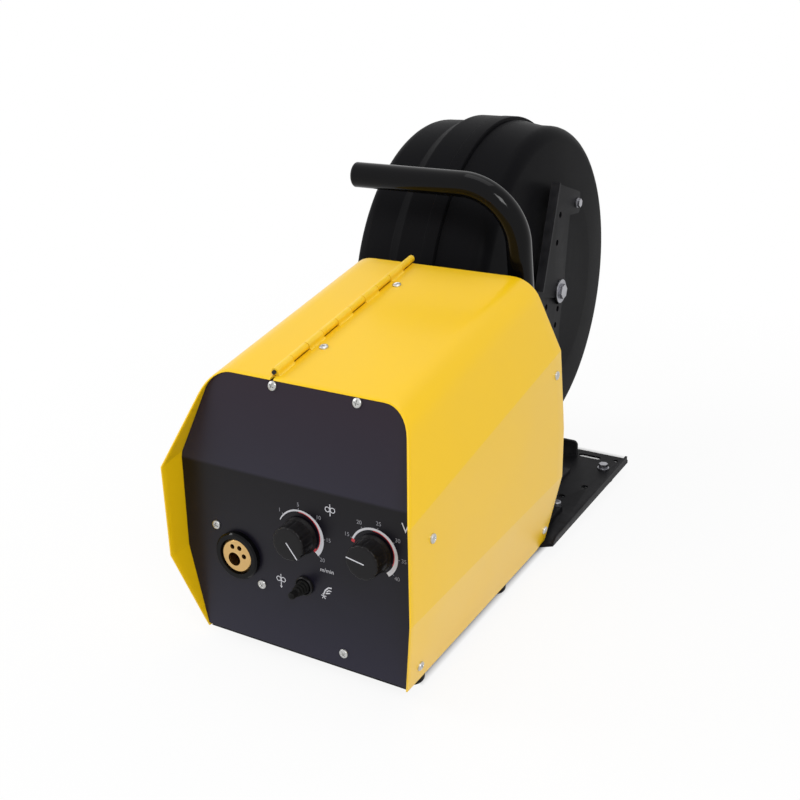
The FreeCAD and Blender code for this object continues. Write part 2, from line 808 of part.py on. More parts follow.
# Screws through the hood: side wall in front and behind, low facet in front and behind.
side_spots = [(side_screw_front, side_screw_front_up), (side_screw_rear, side_screw_rear_up)]
low_spots = [(low_screw_front, low_screw_front_up), (low_screw_rear, low_screw_rear_up)]
leaf_spots = [leaf_screw_front, leaf_screw_rear]


def low_face(up):
    """How far out the low facet is at a height."""
    return case_foot_half + sized(up) * tan_of(low_lean)


def roof_face(along):
    """How high the roof is at a distance behind the front."""
    return brow_front + sized(along) * roof_rise


def rear_meets(at, under):
    """Where a plane beside the case's leaning rear meets a level under the roof."""
    rise = brow_front - under - rear_bend_up
    along = (at - rise * roof_rise) / (roof_rise * roof_rise + 1)
    return (along, roof_face(along) - under)


hood_holes = Piece("hood_holes", kept=False)
hood_screws = Piece("hood_screws")
for along, up in side_spots:
    screw_hole(hood_holes, "XZ", along, (case_half, up), 0, 3)
    screw(hood_screws, "XZ", along, (case_half, up), 0, 6)
for along, up in low_spots:
    screw_hole(hood_holes, "XZ", along, (low_face(up), up), -low_lean, 3)
    screw(hood_screws, "XZ", along, (low_face(up), up), -low_lean, 6)
for along in leaf_spots:
    screw_hole(hood_holes, "YZ", leaf_screw_across, (along, roof_face(along)),
               90 + roof_slope, 4)
hood_screws.place()
hood = cut_away("hood_cut", common("hood_sheet", case_whole, hood_half), hood_holes.body)
keep(hood, "fixed_hood")

latch_hole = Piece("latch_hole", kept=False)
latch_hole.rod("XZ", latch_along, (-low_face(latch_up), latch_up), 180 + low_lean, -5, 5,
               latch_shaft + play)
door = cut_away("door_cut", common("door_sheet", case_whole, door_half), latch_hole.body)
keep(door, "drive_door")

# Hinge along the roof, in its own frame: its line runs along the sloping roof.
barrel_over = knuckle_radius + barrel_lift
hinge_up = roof_face(hinge_front) + barrel_over / cos_of(roof_slope)
knuckle = hinge_length / hinge_knuckles
leaf_top = -barrel_over - sheet_gauge


def hinge_leaf_piece(name, side, first):
    """A leaf with every other knuckle, to one side of the hinge line."""
    piece = Piece(name)
    near, far = leaf_tab_gap * side, hinge_leaf_width * side
    ends = sorted([near, far], key=lambda value: value.number)
    piece.pad("XZ", 0, leaf_length,
              box_outline(ends[0], leaf_top - hinge_leaf, ends[1], leaf_top))
    tab = sorted([near, near + hinge_leaf * side], key=lambda value: value.number)
    for i in range(first, hinge_knuckles, 2):
        start = knuckle * i + knuckle_gap / 2
        end = knuckle * (i + 1) - knuckle_gap / 2
        tab_end = end if end.number < leaf_length.number else leaf_length
        piece.pad("XZ", start, tab_end, box_outline(tab[0], leaf_top, tab[1], 0))
        piece.pad("XZ", start, end, circle(0, 0, knuckle_radius))
        piece.cut("XZ", start - 1, end + 1, circle(0, 0, hinge_pin_radius + running))
    return piece.place(hinge_line, hinge_front, hinge_up, FreeCAD.Vector(1, 0, 0), roof_slope)


hinge_door_leaf = hinge_leaf_piece("hinge_door_leaf", -1, 1)
hinge_fixed_leaf = hinge_leaf_piece("hinge_fixed_leaf", 1, 0)
leaf_marks = [(sized(along) - hinge_front) / cos_of(roof_slope) - barrel_over * roof_rise
              for along in leaf_spots]
for mark in leaf_marks:
    hinge_fixed_leaf.cut("XY", leaf_top - hinge_leaf - 1, leaf_top + 1,
                         circle(leaf_screw_across - hinge_line, mark,
                                screw_shank_radius + play))
hinge_pin = Piece("hinge_pin")
hinge_pin.turn("Y", [(-2, 0), (-2, hinge_pin_radius), (hinge_length + 3, hinge_pin_radius),
                     (hinge_length + 3, 0)])
hinge_pin.place(hinge_line, hinge_front, hinge_up, FreeCAD.Vector(1, 0, 0), roof_slope)
hinge_screws = Piece("hinge_screws")
for mark in leaf_marks:
    screw(hinge_screws, "YZ", leaf_screw_across - hinge_line, (mark, -barrel_over), 90, 6.5)
hinge_screws.place(hinge_line, hinge_front, hinge_up, FreeCAD.Vector(1, 0, 0), roof_slope)

# Quarter-turn latch on the door's low facet; its own X points straight out of the facet.
latch = Piece("door_latch")
latch.turn("X", [(-6, 0), (-6, latch_shaft), (0.4, latch_shaft), (0.4, 8), (5, 8), (6.5, 6.5),
                 (6.5, 0)])
latch.pad("YZ", -8, -6, box_outline(-7, -4.5, 19, 4.5, 2))
latch.pad("YZ", 6.5, 7.5, box_outline(-6, -1.2, 6, 1.2))
latch.place(-low_face(latch_up), latch_along, latch_up, FreeCAD.Vector(0, 1, 0),
            180 - low_lean)

# Front panel: a bent sheet that fills the case's mouth.
head_slope = tan_of(head_lean)
bend_half = (head_lean - panel_lean) / 2
back_bend = (panel_bend_along + panel_gauge * cos_of(panel_lean + bend_half)
             / cos_of(bend_half))
back_bend_up = (panel_bend_up - panel_gauge * sin_of(panel_lean + bend_half)
                / cos_of(bend_half))
panel_sheet = Piece("panel_sheet", kept=False)
panel_sheet.pad("YZ", -case_half, case_half, outline([
    (panel_foot, panel_bottom), (panel_bend_along, panel_bend_up),
    (panel_head_along + past_head * head_slope, panel_head_up + past_head),
    (panel_head_along + past_head * head_slope + panel_gauge / cos_of(head_lean),
     panel_head_up + past_head),
    (back_bend, back_bend_up),
    (panel_foot + panel_gauge, panel_bottom)]))
panel_sheet.cut("XZ", 0, panel_head_along + 10,
                circle(socket_across, socket_up, insert_radius + play),
                circle(speed_across, speed_up, pot_shaft + 1.5),
                circle(voltage_across, voltage_up, pot_shaft + 1.5),
                circle(switch_across, switch_up, ring_bore - 1),
                circle(low_screw_across, low_screw_up, screw_shank_radius + play),
                circle(socket_across - socket_screw_step, socket_up + socket_screw_step,
                       screw_shank_radius + play),
                circle(socket_across + socket_screw_step, socket_up - socket_screw_step,
                       screw_shank_radius + play))
head_screw_along = panel_bend_along + (head_screw_up - panel_bend_up) * head_slope
panel_screws = Piece("panel_screws")
screw_at = (head_screw_along, head_screw_up)
for across in (head_screw_left, head_screw_right):
    panel_sheet.rod("YZ", across, screw_at, 180 - head_lean, -4, 4,
                    screw_shank_radius + play, cut=True)
    screw(panel_screws, "YZ", across, screw_at, 180 - head_lean, 5)
screw(panel_screws, "YZ", low_screw_across, (panel_at(low_screw_up), low_screw_up),
      180 - panel_lean, 5)
panel_screws.place()
front_panel = common("front_cut", panel_sheet.body,
                     case_form("panel_limit", sheet_gauge + play))
keep(front_panel, "front_panel")

# Rear panel with its holes.
rear_panel_back = case_rear - sheet_gauge - rear_panel_set
rear_panel_front = rear_panel_back - panel_gauge
rear_sheet = Piece("rear_sheet", kept=False)
rear_sheet.pad("YZ", -case_half, case_half, outline([
    (rear_panel_front, tray_gauge + play), (rear_panel_back, tray_gauge + play),
    (rear_panel_back, rear_bend_up), (rear_panel_back - rear_reach, form_reach),
    (rear_panel_front - rear_reach, form_reach), (rear_panel_front, rear_bend_up)]))
rear_sheet.cut("XZ", rear_panel_back - 4, rear_panel_back + 2,
               circle(socket_across, socket_up, wire_hole + play),
               circle(gas_across, gas_up, gas_hole + play),
               circle(gas_across, plug_up, plug_hole + play),
               circle(stud_across, stud_up, stud_hole + play))
rear_panel = common("rear_cut", rear_sheet.body, case_form("rear_limit", sheet_gauge + play))
keep(rear_panel, "rear_panel")


def on_panel(piece, across, up):
    """Places a piece whose own -Y points out of the front panel at a spot."""
    return piece.place(across, panel_at(up), up, FreeCAD.Vector(1, 0, 0), -panel_lean)


# Gun socket: collar with its flange behind the panel, and the brass insert.
behind = panel_gauge + 0.2
socket_collar = Piece("socket_collar")
socket_collar.turn("Y", [(-collar_rise, collar_inner), (-collar_rise, collar_radius - 1.5),
                         (-collar_rise + 1.5, collar_radius), (0, collar_radius),
                         (0, collar_inner)])
socket_collar.pad("XZ", behind, behind + 6, box_outline(-28, -28, 28, 28, 4),
                  circle(0, 0, insert_radius + play),
                  circle(-socket_screw_step, socket_screw_step, screw_shank_radius + play),
                  circle(socket_screw_step, -socket_screw_step, screw_shank_radius + play))
on_panel(socket_collar, socket_across, socket_up)
socket_insert = Piece("socket_insert")
socket_insert.turn("Y", [(-insert_rise, 0), (-insert_rise + 0.5, insert_radius - 2),
                         (-insert_rise + 2, insert_radius), (insert_depth, insert_radius),
                         (insert_depth, 0)])
socket_insert.cut("XZ", -insert_rise - 1, gun_bore_depth,
                  circle(gun_bore_across, gun_bore_up, gun_bore))
socket_insert.cut("XZ", gun_bore_depth - 1, insert_depth + 1,
                  circle(0, 0, guide_radius + 1.8))
contact_spots = [(-contact_across, contact_up), (contact_across, contact_up),
                 (contact_side, contact_side_up)]
for across, up in contact_spots:
    socket_insert.cut("XZ", -insert_rise - 1, contact_depth, circle(across, up, contact_bore))
on_panel(socket_insert, socket_across, socket_up)
socket_screws = Piece("socket_screws")
for side in (-1, 1):
    across = socket_across + socket_screw_step * side
    up = socket_up - socket_screw_step * side
    screw(socket_screws, "YZ", across, (panel_at(up), up), 180 - panel_lean, 8)
socket_screws.place()


def fluted_knob(name, across, up):
    """A round knob with flutes in its side and the shaft that it turns."""
    piece = Piece(name)
    base = -knob_gap
    piece.turn("Y", [(-knob_height, 0), (-knob_height, knob_top_radius - 1.2),
                     (-knob_height + 1.2, knob_top_radius), (-knob_flare, knob_top_radius + 0.5),
                     (base - 1, knob_radius), (base, knob_radius), (base, pot_shaft),
                     (panel_gauge + pot_depth / 2, pot_shaft), (panel_gauge + pot_depth / 2, 0)])
    flute = piece.cut("XZ", -knob_height - 1, -knob_flare - 1,
                      circle(knob_top_radius + flute_radius * 0.6, 0, flute_radius))
    piece.repeat_round(flute, "Y_Axis", knob_flutes)
    return on_panel(piece, across, up)


speed_knob = fluted_knob("speed_knob", speed_across, speed_up)
voltage_knob = fluted_knob("voltage_knob", voltage_across, voltage_up)
knob_pots = Piece("knob_pots")
for across, up in ((speed_across, speed_up), (voltage_across, voltage_up)):
    base = panel_at(up) + panel_gauge + 0.6
    knob_pots.pad("XZ", base, base + pot_depth, circle(across, up, pot_radius))
    knob_pots.cut("XZ", base - 1, base + pot_depth - 2, circle(across, up, pot_shaft + 0.4))
knob_pots.place()

# Trigger switch: ring nut on the panel, body behind, and a booted lever that rocks.
toggle_switch = Piece("toggle_switch")
toggle_switch.turn("Y", [(-ring_rise, ring_bore), (-ring_rise, ring_radius - 1),
                         (-ring_rise + 1, ring_radius), (0, ring_radius), (0, ring_bore)])
toggle_switch.pad("XZ", behind, behind + switch_depth,
                  box_outline(-switch_half, -switch_half, switch_half, switch_half, 1.5))
on_panel(toggle_switch, switch_across, switch_up)
toggle_lever = Piece("toggle_lever")
toggle_lever.turn("Y", [(-lever_rise, 0), (-lever_rise, lever_radius - 1.4),
                        (-lever_rise + 1.4, lever_radius), (-boot_rise - 1, lever_radius),
                        (-boot_rise, boot_neck), (-ring_rise - 0.8, boot_radius - 0.4),
                        (-2, boot_radius), (-2, pivot_stem), (behind - 0.05, pivot_stem),
                        (behind - 0.05, 0)], {2: 1, 8: pivot_stem - 0.2})
toggle_lever.pad("YZ", -rock_pin_half, rock_pin_half, circle(0, 0, rock_pin))
on_panel(toggle_lever, switch_across, switch_up)

# Tray: flat sheet with a narrow part under the case, folded edges and holes.
tray_flange_gap = sheet_gauge + play
tray_low_edge = case_foot_half - tray_flange_gap / cos_of(low_lean)
tray_high_edge = tray_low_edge + tray_lip_rise * tan_of(low_lean)
tray = Piece("base_tray")
tray.pad("XY", 0, tray_gauge, outline([
    (-tray_low_edge, tray_front_lip), (tray_low_edge, tray_front_lip),
    (tray_low_edge, tray_step), (tray_wide_half, tray_step + 10),
    (tray_wide_half, tray_rear), (-tray_wide_half, tray_rear),
    (-tray_wide_half, tray_step + 10), (-tray_low_edge, tray_step)], {4: 6, 5: 6}))
for side in (-1, 1):
    low, high = tray_low_edge * side, tray_high_edge * side
    inward = tray_gauge * side
    tray.pad("XZ", tray_front + 4, rear_panel_front - play, outline([
        (low, 0), (high, tray_lip_rise), (high - inward, tray_lip_rise), (low - inward, 0)]))
    edge = tray_wide_half * side
    sides = sorted([edge - inward, edge], key=lambda value: value.number)
    tray.pad("YZ", sides[0], sides[1], outline([
        (tray_step + 12, 0), (tray_rear - 8, 0), (tray_rear - 8, tray_side_rise),
        (tray_step + 20, tray_side_rise - 2), (tray_step + 12, 4)]))
tray.pad("XZ", tray_front_lip, tray_front_lip + tray_gauge,
         box_outline(-tray_lip_half, 0, tray_lip_half, tray_lip_rise))
slot_along = tray_rear - slot_inset
tray.cut("XY", -1, tray_gauge + 1,
         box_outline(slot_left, slot_along - tray_slot_half, slot_right,
                     slot_along + tray_slot_half, tray_slot_half - 0.1))
for side in (-1, 1):
    tray.cut("XY", -1, tray_gauge + 1,
             circle(wide_hole_across * side, wide_hole_along, tray_hole),
             circle(near_hole_across * side, near_hole_along, tray_hole),
             circle(corner_hole_across * side, corner_hole_along, tray_corner_hole))
tray.cut("XZ", tray_front_lip - 1, tray_front_lip + tray_gauge + 1,
         circle(low_screw_across, low_screw_up, screw_shank_radius + play))
for along, up in low_spots:
    tray.rod("XZ", along, (low_face(up), up), -low_lean, -8, 1, screw_shank_radius + play,
             cut=True)
tray.place()

# Feet, each with the bolt that holds it to the tray.
foot_spots = [(foot_across, foot_front), (foot_across, foot_middle),
              (foot_rear_across, foot_rear)]
feet = Piece("rubber_feet")
bolts = Piece("tray_bolts")
for across, along in foot_spots:
    for side in (-1, 1):
        spot = (across * side, along)
        feet.turn("Z", [(-foot_height, 0), (-foot_height, foot_radius - 0.5),
                        (0, foot_radius), (0, 0)], {1: foot_round}, centre=spot)
        bolts.turn("Z", [(tray_gauge, 0), (tray_gauge, washer_radius),
                         (tray_gauge + washer_gauge, washer_radius),
                         (tray_gauge + washer_gauge, 0)], centre=spot)
        points = []
        for corner in range(6):
            angle = sized(60 * corner + 15)
            points.append((spot[0] + bolt_head_radius * cos_of(angle),
                           spot[1] + bolt_head_radius * sin_of(angle)))
        top = tray_gauge + washer_gauge
        bolts.pad("XY", top, top + bolt_head_rise, outline(points))
feet.place()
lug = Piece("relief_lug")
lug.pad("XZ", lug_along, lug_along + lug_gauge,
        outline([(lug_across - lug_half, tray_gauge), (lug_across + lug_half, tray_gauge),
                 (lug_across + lug_half, lug_rise), (lug_across - lug_half, lug_rise)],
                {2: lug_round, 3: lug_round}))
lug.place()

# Bulkhead between the wire side and the electric side, with folded edges.
wall_right = wall_left + wall_gauge
under_leaf = (sheet_gauge + hinge_leaf) / cos_of(roof_slope) + play
wall_head = panel_head_along + 8
fold_front = wall_head + 10
fold_rear = fold_front + fold_length
bulkhead = Piece("bulkhead")
wall_front = tray_front_lip + tray_gauge + 1.5
bulkhead.pad("YZ", wall_left, wall_right, outline([
    (wall_front, tray_gauge), (wall_front + 2, panel_bend_up),
    (wall_head, roof_face(wall_head) - under_leaf),
    rear_meets(rear_panel_front, under_leaf),
    (rear_panel_front, rear_bend_up), (rear_panel_front, tray_gauge)]),
    circle(drive_middle, roll_low - drive_drop, drive_shaft + 2))
bulkhead.pad("YZ", wall_right, wall_right + fold, outline([
    (fold_front, roof_face(fold_front) - under_leaf - wall_gauge),
    (fold_front, roof_face(fold_front) - under_leaf),
    (fold_rear, roof_face(fold_rear) - under_leaf),
    (fold_rear, roof_face(fold_rear) - under_leaf - wall_gauge)]))
bulkhead.pad("XY", tray_gauge, tray_gauge + wall_gauge,
             box_outline(wall_right, 34, wall_right + fold, 290))
for along in leaf_spots:
    bulkhead.rod("YZ", leaf_screw_across, (along, roof_face(along)), 90 + roof_slope, -8, 1,
                 screw_shank_radius + play, cut=True)
bulkhead.place()

# Rail behind the panel's head that takes its two upper screws.
rail = Piece("panel_rail")
rail_out = panel_gauge + 0.1
for across in (head_screw_left, head_screw_right):
    rail.spin_at("YZ", across, (head_screw_along, head_screw_up), 180 - head_lean,
                 [(-rail_out - 4, screw_shank_radius + play), (-rail_out - 4, 5),
                  (-rail_out, 5), (-rail_out, screw_shank_radius + play)])
back_rail = head_screw_along + 8
for left, right in ((-70, wall_left), (wall_right, 70)):
    rail.pad("YZ", left, right, outline([
        (back_rail - 3, head_screw_up - 6), (back_rail + 12, head_screw_up - 6),
        (back_rail + 12, head_screw_up - 4), (back_rail - 3, head_screw_up - 4)]))
rail.place()

# Wire drive: insulator and plate on the bulkhead's wire side.
drive_up = roll_low - drive_drop
roll_high = roll_low + gear_module * roll_teeth
roll_radius = gear_module * roll_teeth / 2 - roll_gap_share
spots = {"front": -1, "rear": 1}
plate_right = plate_left + plate_gauge
insulator = Piece("drive_insulator")
insulator.pad("YZ", plate_right, wall_left,
              box_outline(plate_front - insulator_edge, plate_low - insulator_edge,
                          plate_rear + insulator_edge, plate_high + insulator_edge, 6),
              circle(drive_middle, drive_up, drive_shaft + 0.8))
insulator.place()
drive_plate = Piece("drive_plate")
drive_plate.pad("YZ", plate_left, plate_right,
                box_outline(plate_front, plate_low, plate_rear, plate_high, plate_corner),
                circle(drive_middle, drive_up, drive_shaft + running),
                circle(drive_middle - roll_step, roll_low, roll_shaft + running),
                circle(drive_middle + roll_step, roll_low, roll_shaft + running))
for side in (-1, 1):
    drive_plate.pad("YZ", arm_left, plate_left,
                    circle(drive_middle + arm_pivot_step * side, arm_pivot_up,
                           arm_pivot_radius))
    near = drive_middle + cheek_gap * side
    far = drive_middle + (cheek_gap + cheek_gauge) * side
    drive_plate.pad("XZ", *sorted([near, far], key=lambda value: value.number),
                    box_outline(pivot_across - lever_eye, pivot_up - 4.5, plate_left,
                                pivot_up + lever_eye))
drive_plate.pad("XZ", drive_middle - cheek_gap - cheek_gauge,
                drive_middle + cheek_gap + cheek_gauge,
                circle(pivot_across, pivot_up, pivot_pin))
drive_plate.place()


def gear_teeth(piece, teeth, low, high):
    """A toothed wheel round the body's X axis; its first tooth points along Y."""
    pitch = gear_module * teeth / 2
    foot, tip = pitch - gear_module * 1.25, pitch + gear_module
    piece.pad("YZ", low, high, circle(0, 0, foot))
    tooth = piece.pad("YZ", low, high, outline([
        (foot - 0.6, -gear_module * tooth_foot), (pitch, -gear_module * tooth_waist),
        (tip, -gear_module * tooth_tip), (tip, gear_module * tooth_tip),
        (pitch, gear_module * tooth_waist), (foot - 0.6, gear_module * tooth_foot)]))
    piece.repeat_round(tooth, "X_Axis", teeth)


def wire_roll(name, side, upper, phase):
    """A grooved drive roll with its gear and shaft, placed so that its teeth mesh."""
    piece = Piece(name)
    left = roll_left - pivot_across
    right = left + roll_width
    gear_start = gear_left - pivot_across
    gear_teeth(piece, roll_teeth, gear_start, gear_start + gear_face)
    grooves = []
    for groove in (left + roll_width / 2 - groove_offset, left + roll_width / 2 + groove_offset):
        grooves += [(groove - groove_half, roll_radius), (groove, roll_radius - groove_depth),
                    (groove + groove_half, roll_radius)]
    hub = roll_radius - 5
    if upper:
        shaft_end = arm_left - pivot_across - 1
        piece.turn("X", [(shaft_end, 0), (shaft_end, roll_shaft - 1), (left, roll_shaft - 1),
                         (left, roll_radius)] + grooves
                   + [(right, roll_radius), (right, hub), (gear_start + 1, hub),
                      (gear_start + 1, 0)])
    else:
        shaft_end = plate_right - pivot_across - 1
        cap_end = left - cap_rise
        piece.turn("X", [(cap_end, 0), (cap_end, cap_radius), (left, cap_radius),
                         (left, roll_radius)] + grooves
                   + [(right, roll_radius), (right, hub), (gear_start + 1, hub),
                      (gear_start + 1, roll_shaft), (shaft_end, roll_shaft), (shaft_end, 0)])
    up = roll_high if upper else roll_low
    return piece.place(pivot_across, drive_middle + roll_step * side, up,
                       FreeCAD.Vector(1, 0, 0), phase)


# Teeth in mesh: each wheel's turn follows from its place beside the drive gear.
mesh_angle = angle_of(drive_drop, roll_step)
tooth_angle = sized(360) / roll_teeth
gear_ratio = drive_teeth / roll_teeth
rear_phase = mesh_angle + 180 - tooth_angle / 2 + gear_ratio * mesh_angle
front_angle = 180 - mesh_angle
front_phase = front_angle + 180 - tooth_angle / 2 + gear_ratio * front_angle
lower_roll_front = wire_roll("lower_roll_front", -1, False, front_phase)
lower_roll_rear = wire_roll("lower_roll_rear", 1, False, rear_phase)
upper_roll_front = wire_roll("upper_roll_front", -1, True, 360 - tooth_angle / 2 - front_phase)
upper_roll_rear = wire_roll("upper_roll_rear", 1, True, 360 - tooth_angle / 2 - rear_phase)
drive_gear = Piece("drive_gear")
gear_start = gear_left - pivot_across
gear_teeth(drive_gear, drive_teeth, gear_start, gear_start + gear_face)
shaft_end = wall_right - pivot_across + 16
drive_gear.turn("X", [(gear_start - 2, 0), (gear_start - 2, drive_shaft + 2),
                      (gear_start + 1, drive_shaft + 2), (gear_start + 1, drive_shaft),
                      (shaft_end, drive_shaft), (shaft_end, 0)])
drive_gear.place(pivot_across, drive_middle, drive_up, FreeCAD.Vector(1, 0, 0), 0)


def pressure_arm(name, side):
    """An arm from its outer pivot over its upper roll to the lever's seat."""
    piece = Piece(name)
    pivot = drive_middle + arm_pivot_step * side
    roll = drive_middle + roll_step * side
    tip = drive_middle + arm_tip_step * side
    inner = drive_middle + (arm_tip_step + arm_lug_depth) * side
    arm_right = arm_left + arm_gauge
    piece.pad("YZ", arm_left, arm_right, outline([
        (pivot + arm_boss * side, arm_pivot_up - arm_boss),
        (roll - 6 * side, arm_pivot_up + 2), (inner, arm_lug_low),
        (inner, arm_lug_low + 6), (roll, roll_high + 12),
        (pivot + arm_boss * side, arm_pivot_up + arm_boss + 2)]))
    seat = pivot_across + seat_across
    top = pivot_up + seat_up - seat_gap / cos_of(lever_lean)
    fall = (seat - 0.5 - arm_lug_right) * tan_of(lever_lean)
    levels = sorted([tip, inner], key=lambda value: value.number)
    piece.pad("XZ", *levels, outline([
        (arm_left, arm_lug_low), (arm_lug_right, arm_lug_low),
        (arm_lug_right, top + fall), (seat + 0.5, top - 0.3), (seat - 0.5, arm_lug_low + 5),
        (arm_left, arm_lug_low + 5)]))
    piece.cut("YZ", arm_left - 1, arm_right + 1,
              circle(pivot, arm_pivot_up, arm_pivot_radius + running),
              circle(roll, roll_high, roll_shaft - 1 + running))
    return piece.place()


arm_front = pressure_arm("pressure_arm_front", -1)
arm_rear = pressure_arm("pressure_arm_rear", 1)

# Tension lever and its screw knob, drawn upright and placed leaning in over the seats.
tension_lever = Piece("tension_lever")
eye = cheek_gap - 0.4
tension_lever.pad("XZ", -eye, eye, circle(0, 0, lever_eye - 0.5))
tension_lever.turn("Z", [(4, 0), (4, lever_rod), (25.2, lever_rod), (25.2, lever_washer),
                         (26.7, lever_washer), (26.7, barrel_radius), (barrel_top, barrel_radius),
                         (barrel_top, lever_rod), (lever_length, lever_rod), (lever_length, 0)])
tension_lever.cut("XZ", -eye - 1, eye + 1, circle(0, 0, pivot_pin + running))
tension_lever.place(pivot_across, drive_middle, pivot_up, FreeCAD.Vector(0, 1, 0), lever_lean)
tension_knob = Piece("tension_knob")
tension_knob.turn("Z", [(barrel_top + 0.5, lever_rod + running), (barrel_top + 0.5, 8),
                        (barrel_top + 4, grip_radius), (grip_top - 1.5, grip_radius),
                        (grip_top, grip_radius - 1.5), (grip_top, 0),
                        (lever_length + 1, 0), (lever_length + 1, lever_rod + running)])
rib = tension_knob.cut("XY", barrel_top + 6, grip_top + 1,
                       circle(grip_radius + 0.7, 0, 1.6))
tension_knob.repeat_round(rib, "Z_Axis", grip_ribs)
tension_knob.place(pivot_across, drive_middle, pivot_up, FreeCAD.Vector(0, 1, 0), lever_lean)

# Brass wire guides on the wire's line, each held by a block from the plate.
guides = Piece("wire_guides")
insert_end = panel_at(socket_up) + insert_depth
guide_runs = [(insert_end - 6, drive_middle - roll_step - nip_gap),
              (drive_middle - 10, drive_middle + 10),
              (drive_middle + roll_step + nip_gap, rear_panel_front - 6)]
wire_line = (socket_across, socket_up)
for low, high in guide_runs:
    guides.pad("XZ", low, high, circle(*wire_line, guide_radius),
               circle(*wire_line, guide_bore))
for along in (drive_middle - roll_step - nip_gap - 10, drive_middle,
              drive_middle + roll_step + nip_gap + 10):
    guides.pad("XZ", along - guide_block, along + guide_block,
               box_outline(socket_across - 3, socket_up - 4, plate_left, socket_up + 2.4),
               circle(*wire_line, guide_bore))
guides.place()

# Electric side: gearbox, motor, gas valve and control board.
gearbox = Piece("gearbox")
gear_box_end = wall_right + gearbox_depth
gearbox.pad("YZ", wall_right, gear_box_end,
            box_outline(drive_middle - gearbox_half, drive_up - gearbox_half,
                        drive_middle + gearbox_half, drive_up + gearbox_half, 5))
gearbox.cut("YZ", wall_right - 1, wall_right + 18,
            circle(drive_middle, drive_up, drive_shaft + 0.4))
gearbox.place()
motor = Piece("drive_motor")
motor_end = gear_box_end + motor_length
motor.turn("X", [(gear_box_end, 0), (gear_box_end, motor_radius - 2),
                 (gear_box_end + 6, motor_radius - 2), (gear_box_end + 6, motor_radius),
                 (motor_end - 10, motor_radius), (motor_end - 10, motor_radius - 3),
                 (motor_end, motor_radius - 4), (motor_end, 0)],
           centre=(drive_middle, drive_up))
motor.place()
gas_valve = Piece("gas_valve")
gas_valve.pad("XY", tray_gauge, 34, box_outline(valve_across - 14, valve_along - 16,
                                              valve_across + 14, valve_along + 16, 2))
gas_valve.pad("XY", 34, 66, circle(valve_across, valve_along - 2, 11))
gas_valve.turn("Y", [(valve_along - 34, 0), (valve_along - 34, 3.4), (valve_along - 16, 3.4),
                     (valve_along - 16, 0)], centre=(valve_across, 20))
gas_valve.place()
board = Piece("control_board")
board_low, board_high = speed_up - 30, speed_up + 38
board_left, board_right = switch_across - 26, voltage_across + 30
board.pad("XZ", board_along, board_along + 1.6,
          box_outline(board_left, board_low, board_right, board_high, 2))
for across in (board_left + 5, board_right - 5):
    for up in (board_low + 5, board_high - 5):
        board.pad("XZ", panel_at(up) + panel_gauge, board_along, circle(across, up, 3))
board.pad("XZ", board_along + 1.6, board_along + 14,
          box_outline(20, speed_up, 52, speed_up + 20),
          box_outline(60, speed_up - 20, 74, speed_up + 10), circle(34, speed_up - 16, 9))
board.place()

# Rear panel fittings.
back = rear_panel_back
flange_end = back + fitting_flange
gas_inlet = Piece("gas_inlet")
gas_inlet.turn("Y", [(back - gas_nut, 0), (back - gas_nut, gas_hole), (back, gas_hole),
                     (back, gas_hole * 1.5), (flange_end, gas_hole * 1.5),
                     (flange_end, gas_nipple), (flange_end + gas_nipple_length, gas_nipple),
                     (flange_end + gas_nipple_length, 0)],
               centre=(gas_across, gas_up))
gas_inlet.place()
plug = Piece("control_socket")
plug.turn("Y", [(back - gas_nut, 0), (back - gas_nut, plug_hole), (back, plug_hole),
                (back, plug_hole + 3), (flange_end, plug_hole + 3), (flange_end, plug_rim),
                (flange_end + plug_rise, plug_rim), (flange_end + plug_rise, plug_mouth),
                (flange_end + 2, plug_mouth), (flange_end + 2, 0)],
          centre=(gas_across, plug_up))
plug.place()
stud = Piece("power_stud")
stud.turn("Y", [(back - stud_tail, 0), (back - stud_tail, stud_hole), (back, stud_hole),
                (back, stud_hole + 6), (flange_end, stud_hole + 6), (flange_end, stud_bolt),
                (flange_end + stud_tail, stud_bolt), (flange_end + stud_tail, 0)],
          centre=(stud_across, stud_up))
stud.place()
wire_inlet = Piece("wire_inlet")
inlet_front = rear_panel_front - inlet_tail
wire_inlet.turn("Y", [(inlet_front, guide_bore + 1.4), (inlet_front, wire_hole),
                      (back, wire_hole), (back, wire_hole + 4), (flange_end, wire_hole + 4),
                      (flange_end, inlet_neck), (flange_end + inlet_rise, inlet_tip),
                      (flange_end + inlet_rise, inlet_mouth)],
                centre=(socket_across, socket_up))
wire_inlet.place()

# Stand: two plates bolted together beside the cover, in the plane beside its right face.
stand_right = stand_across + stand_gauge
upright = Piece("lower_upright")
upright.pad("YZ", stand_across, stand_right, outline([
    (upright_top_front, upright_top), (upright_top_rear, upright_top),
    (upright_ear_rear, upright_ear_up), (upright_waist_rear, upright_waist_up),
    (upright_bend_rear, upright_bend_up), (upright_rear, tray_gauge),
    (upright_front, tray_gauge)], {0: 6, 1: 6}),
    circle(spool_along, spool_up, axle_radius + play),
    circle(upright_bend_rear - 7, upright_waist_up, stand_hole),
    circle(upright_bend_rear - 13, upright_bend_up + 6, stand_hole),
    circle(upright_top_front + 30, upright_ear_up - 6, stand_hole),
    circle(upright_top_front + 38, upright_bend_up - 29, stand_hole))
upright.pad("XY", tray_gauge, tray_gauge + stand_gauge,
            box_outline(stand_right, upright_front, stand_right + stand_foot_width, upright_rear))
flange_lean = (upright_top_front - upright_front) / (upright_top - tray_gauge)
flange_head = upright_front + (stand_flange_up - tray_gauge) * flange_lean
upright.pad("YZ", stand_right, stand_right + stand_flange, outline([
    (upright_front, tray_gauge), (upright_front + stand_gauge, tray_gauge),
    (flange_head + stand_gauge, stand_flange_up), (flange_head, stand_flange_up)]))
upright.place()
upper_arm = Piece("upper_arm")
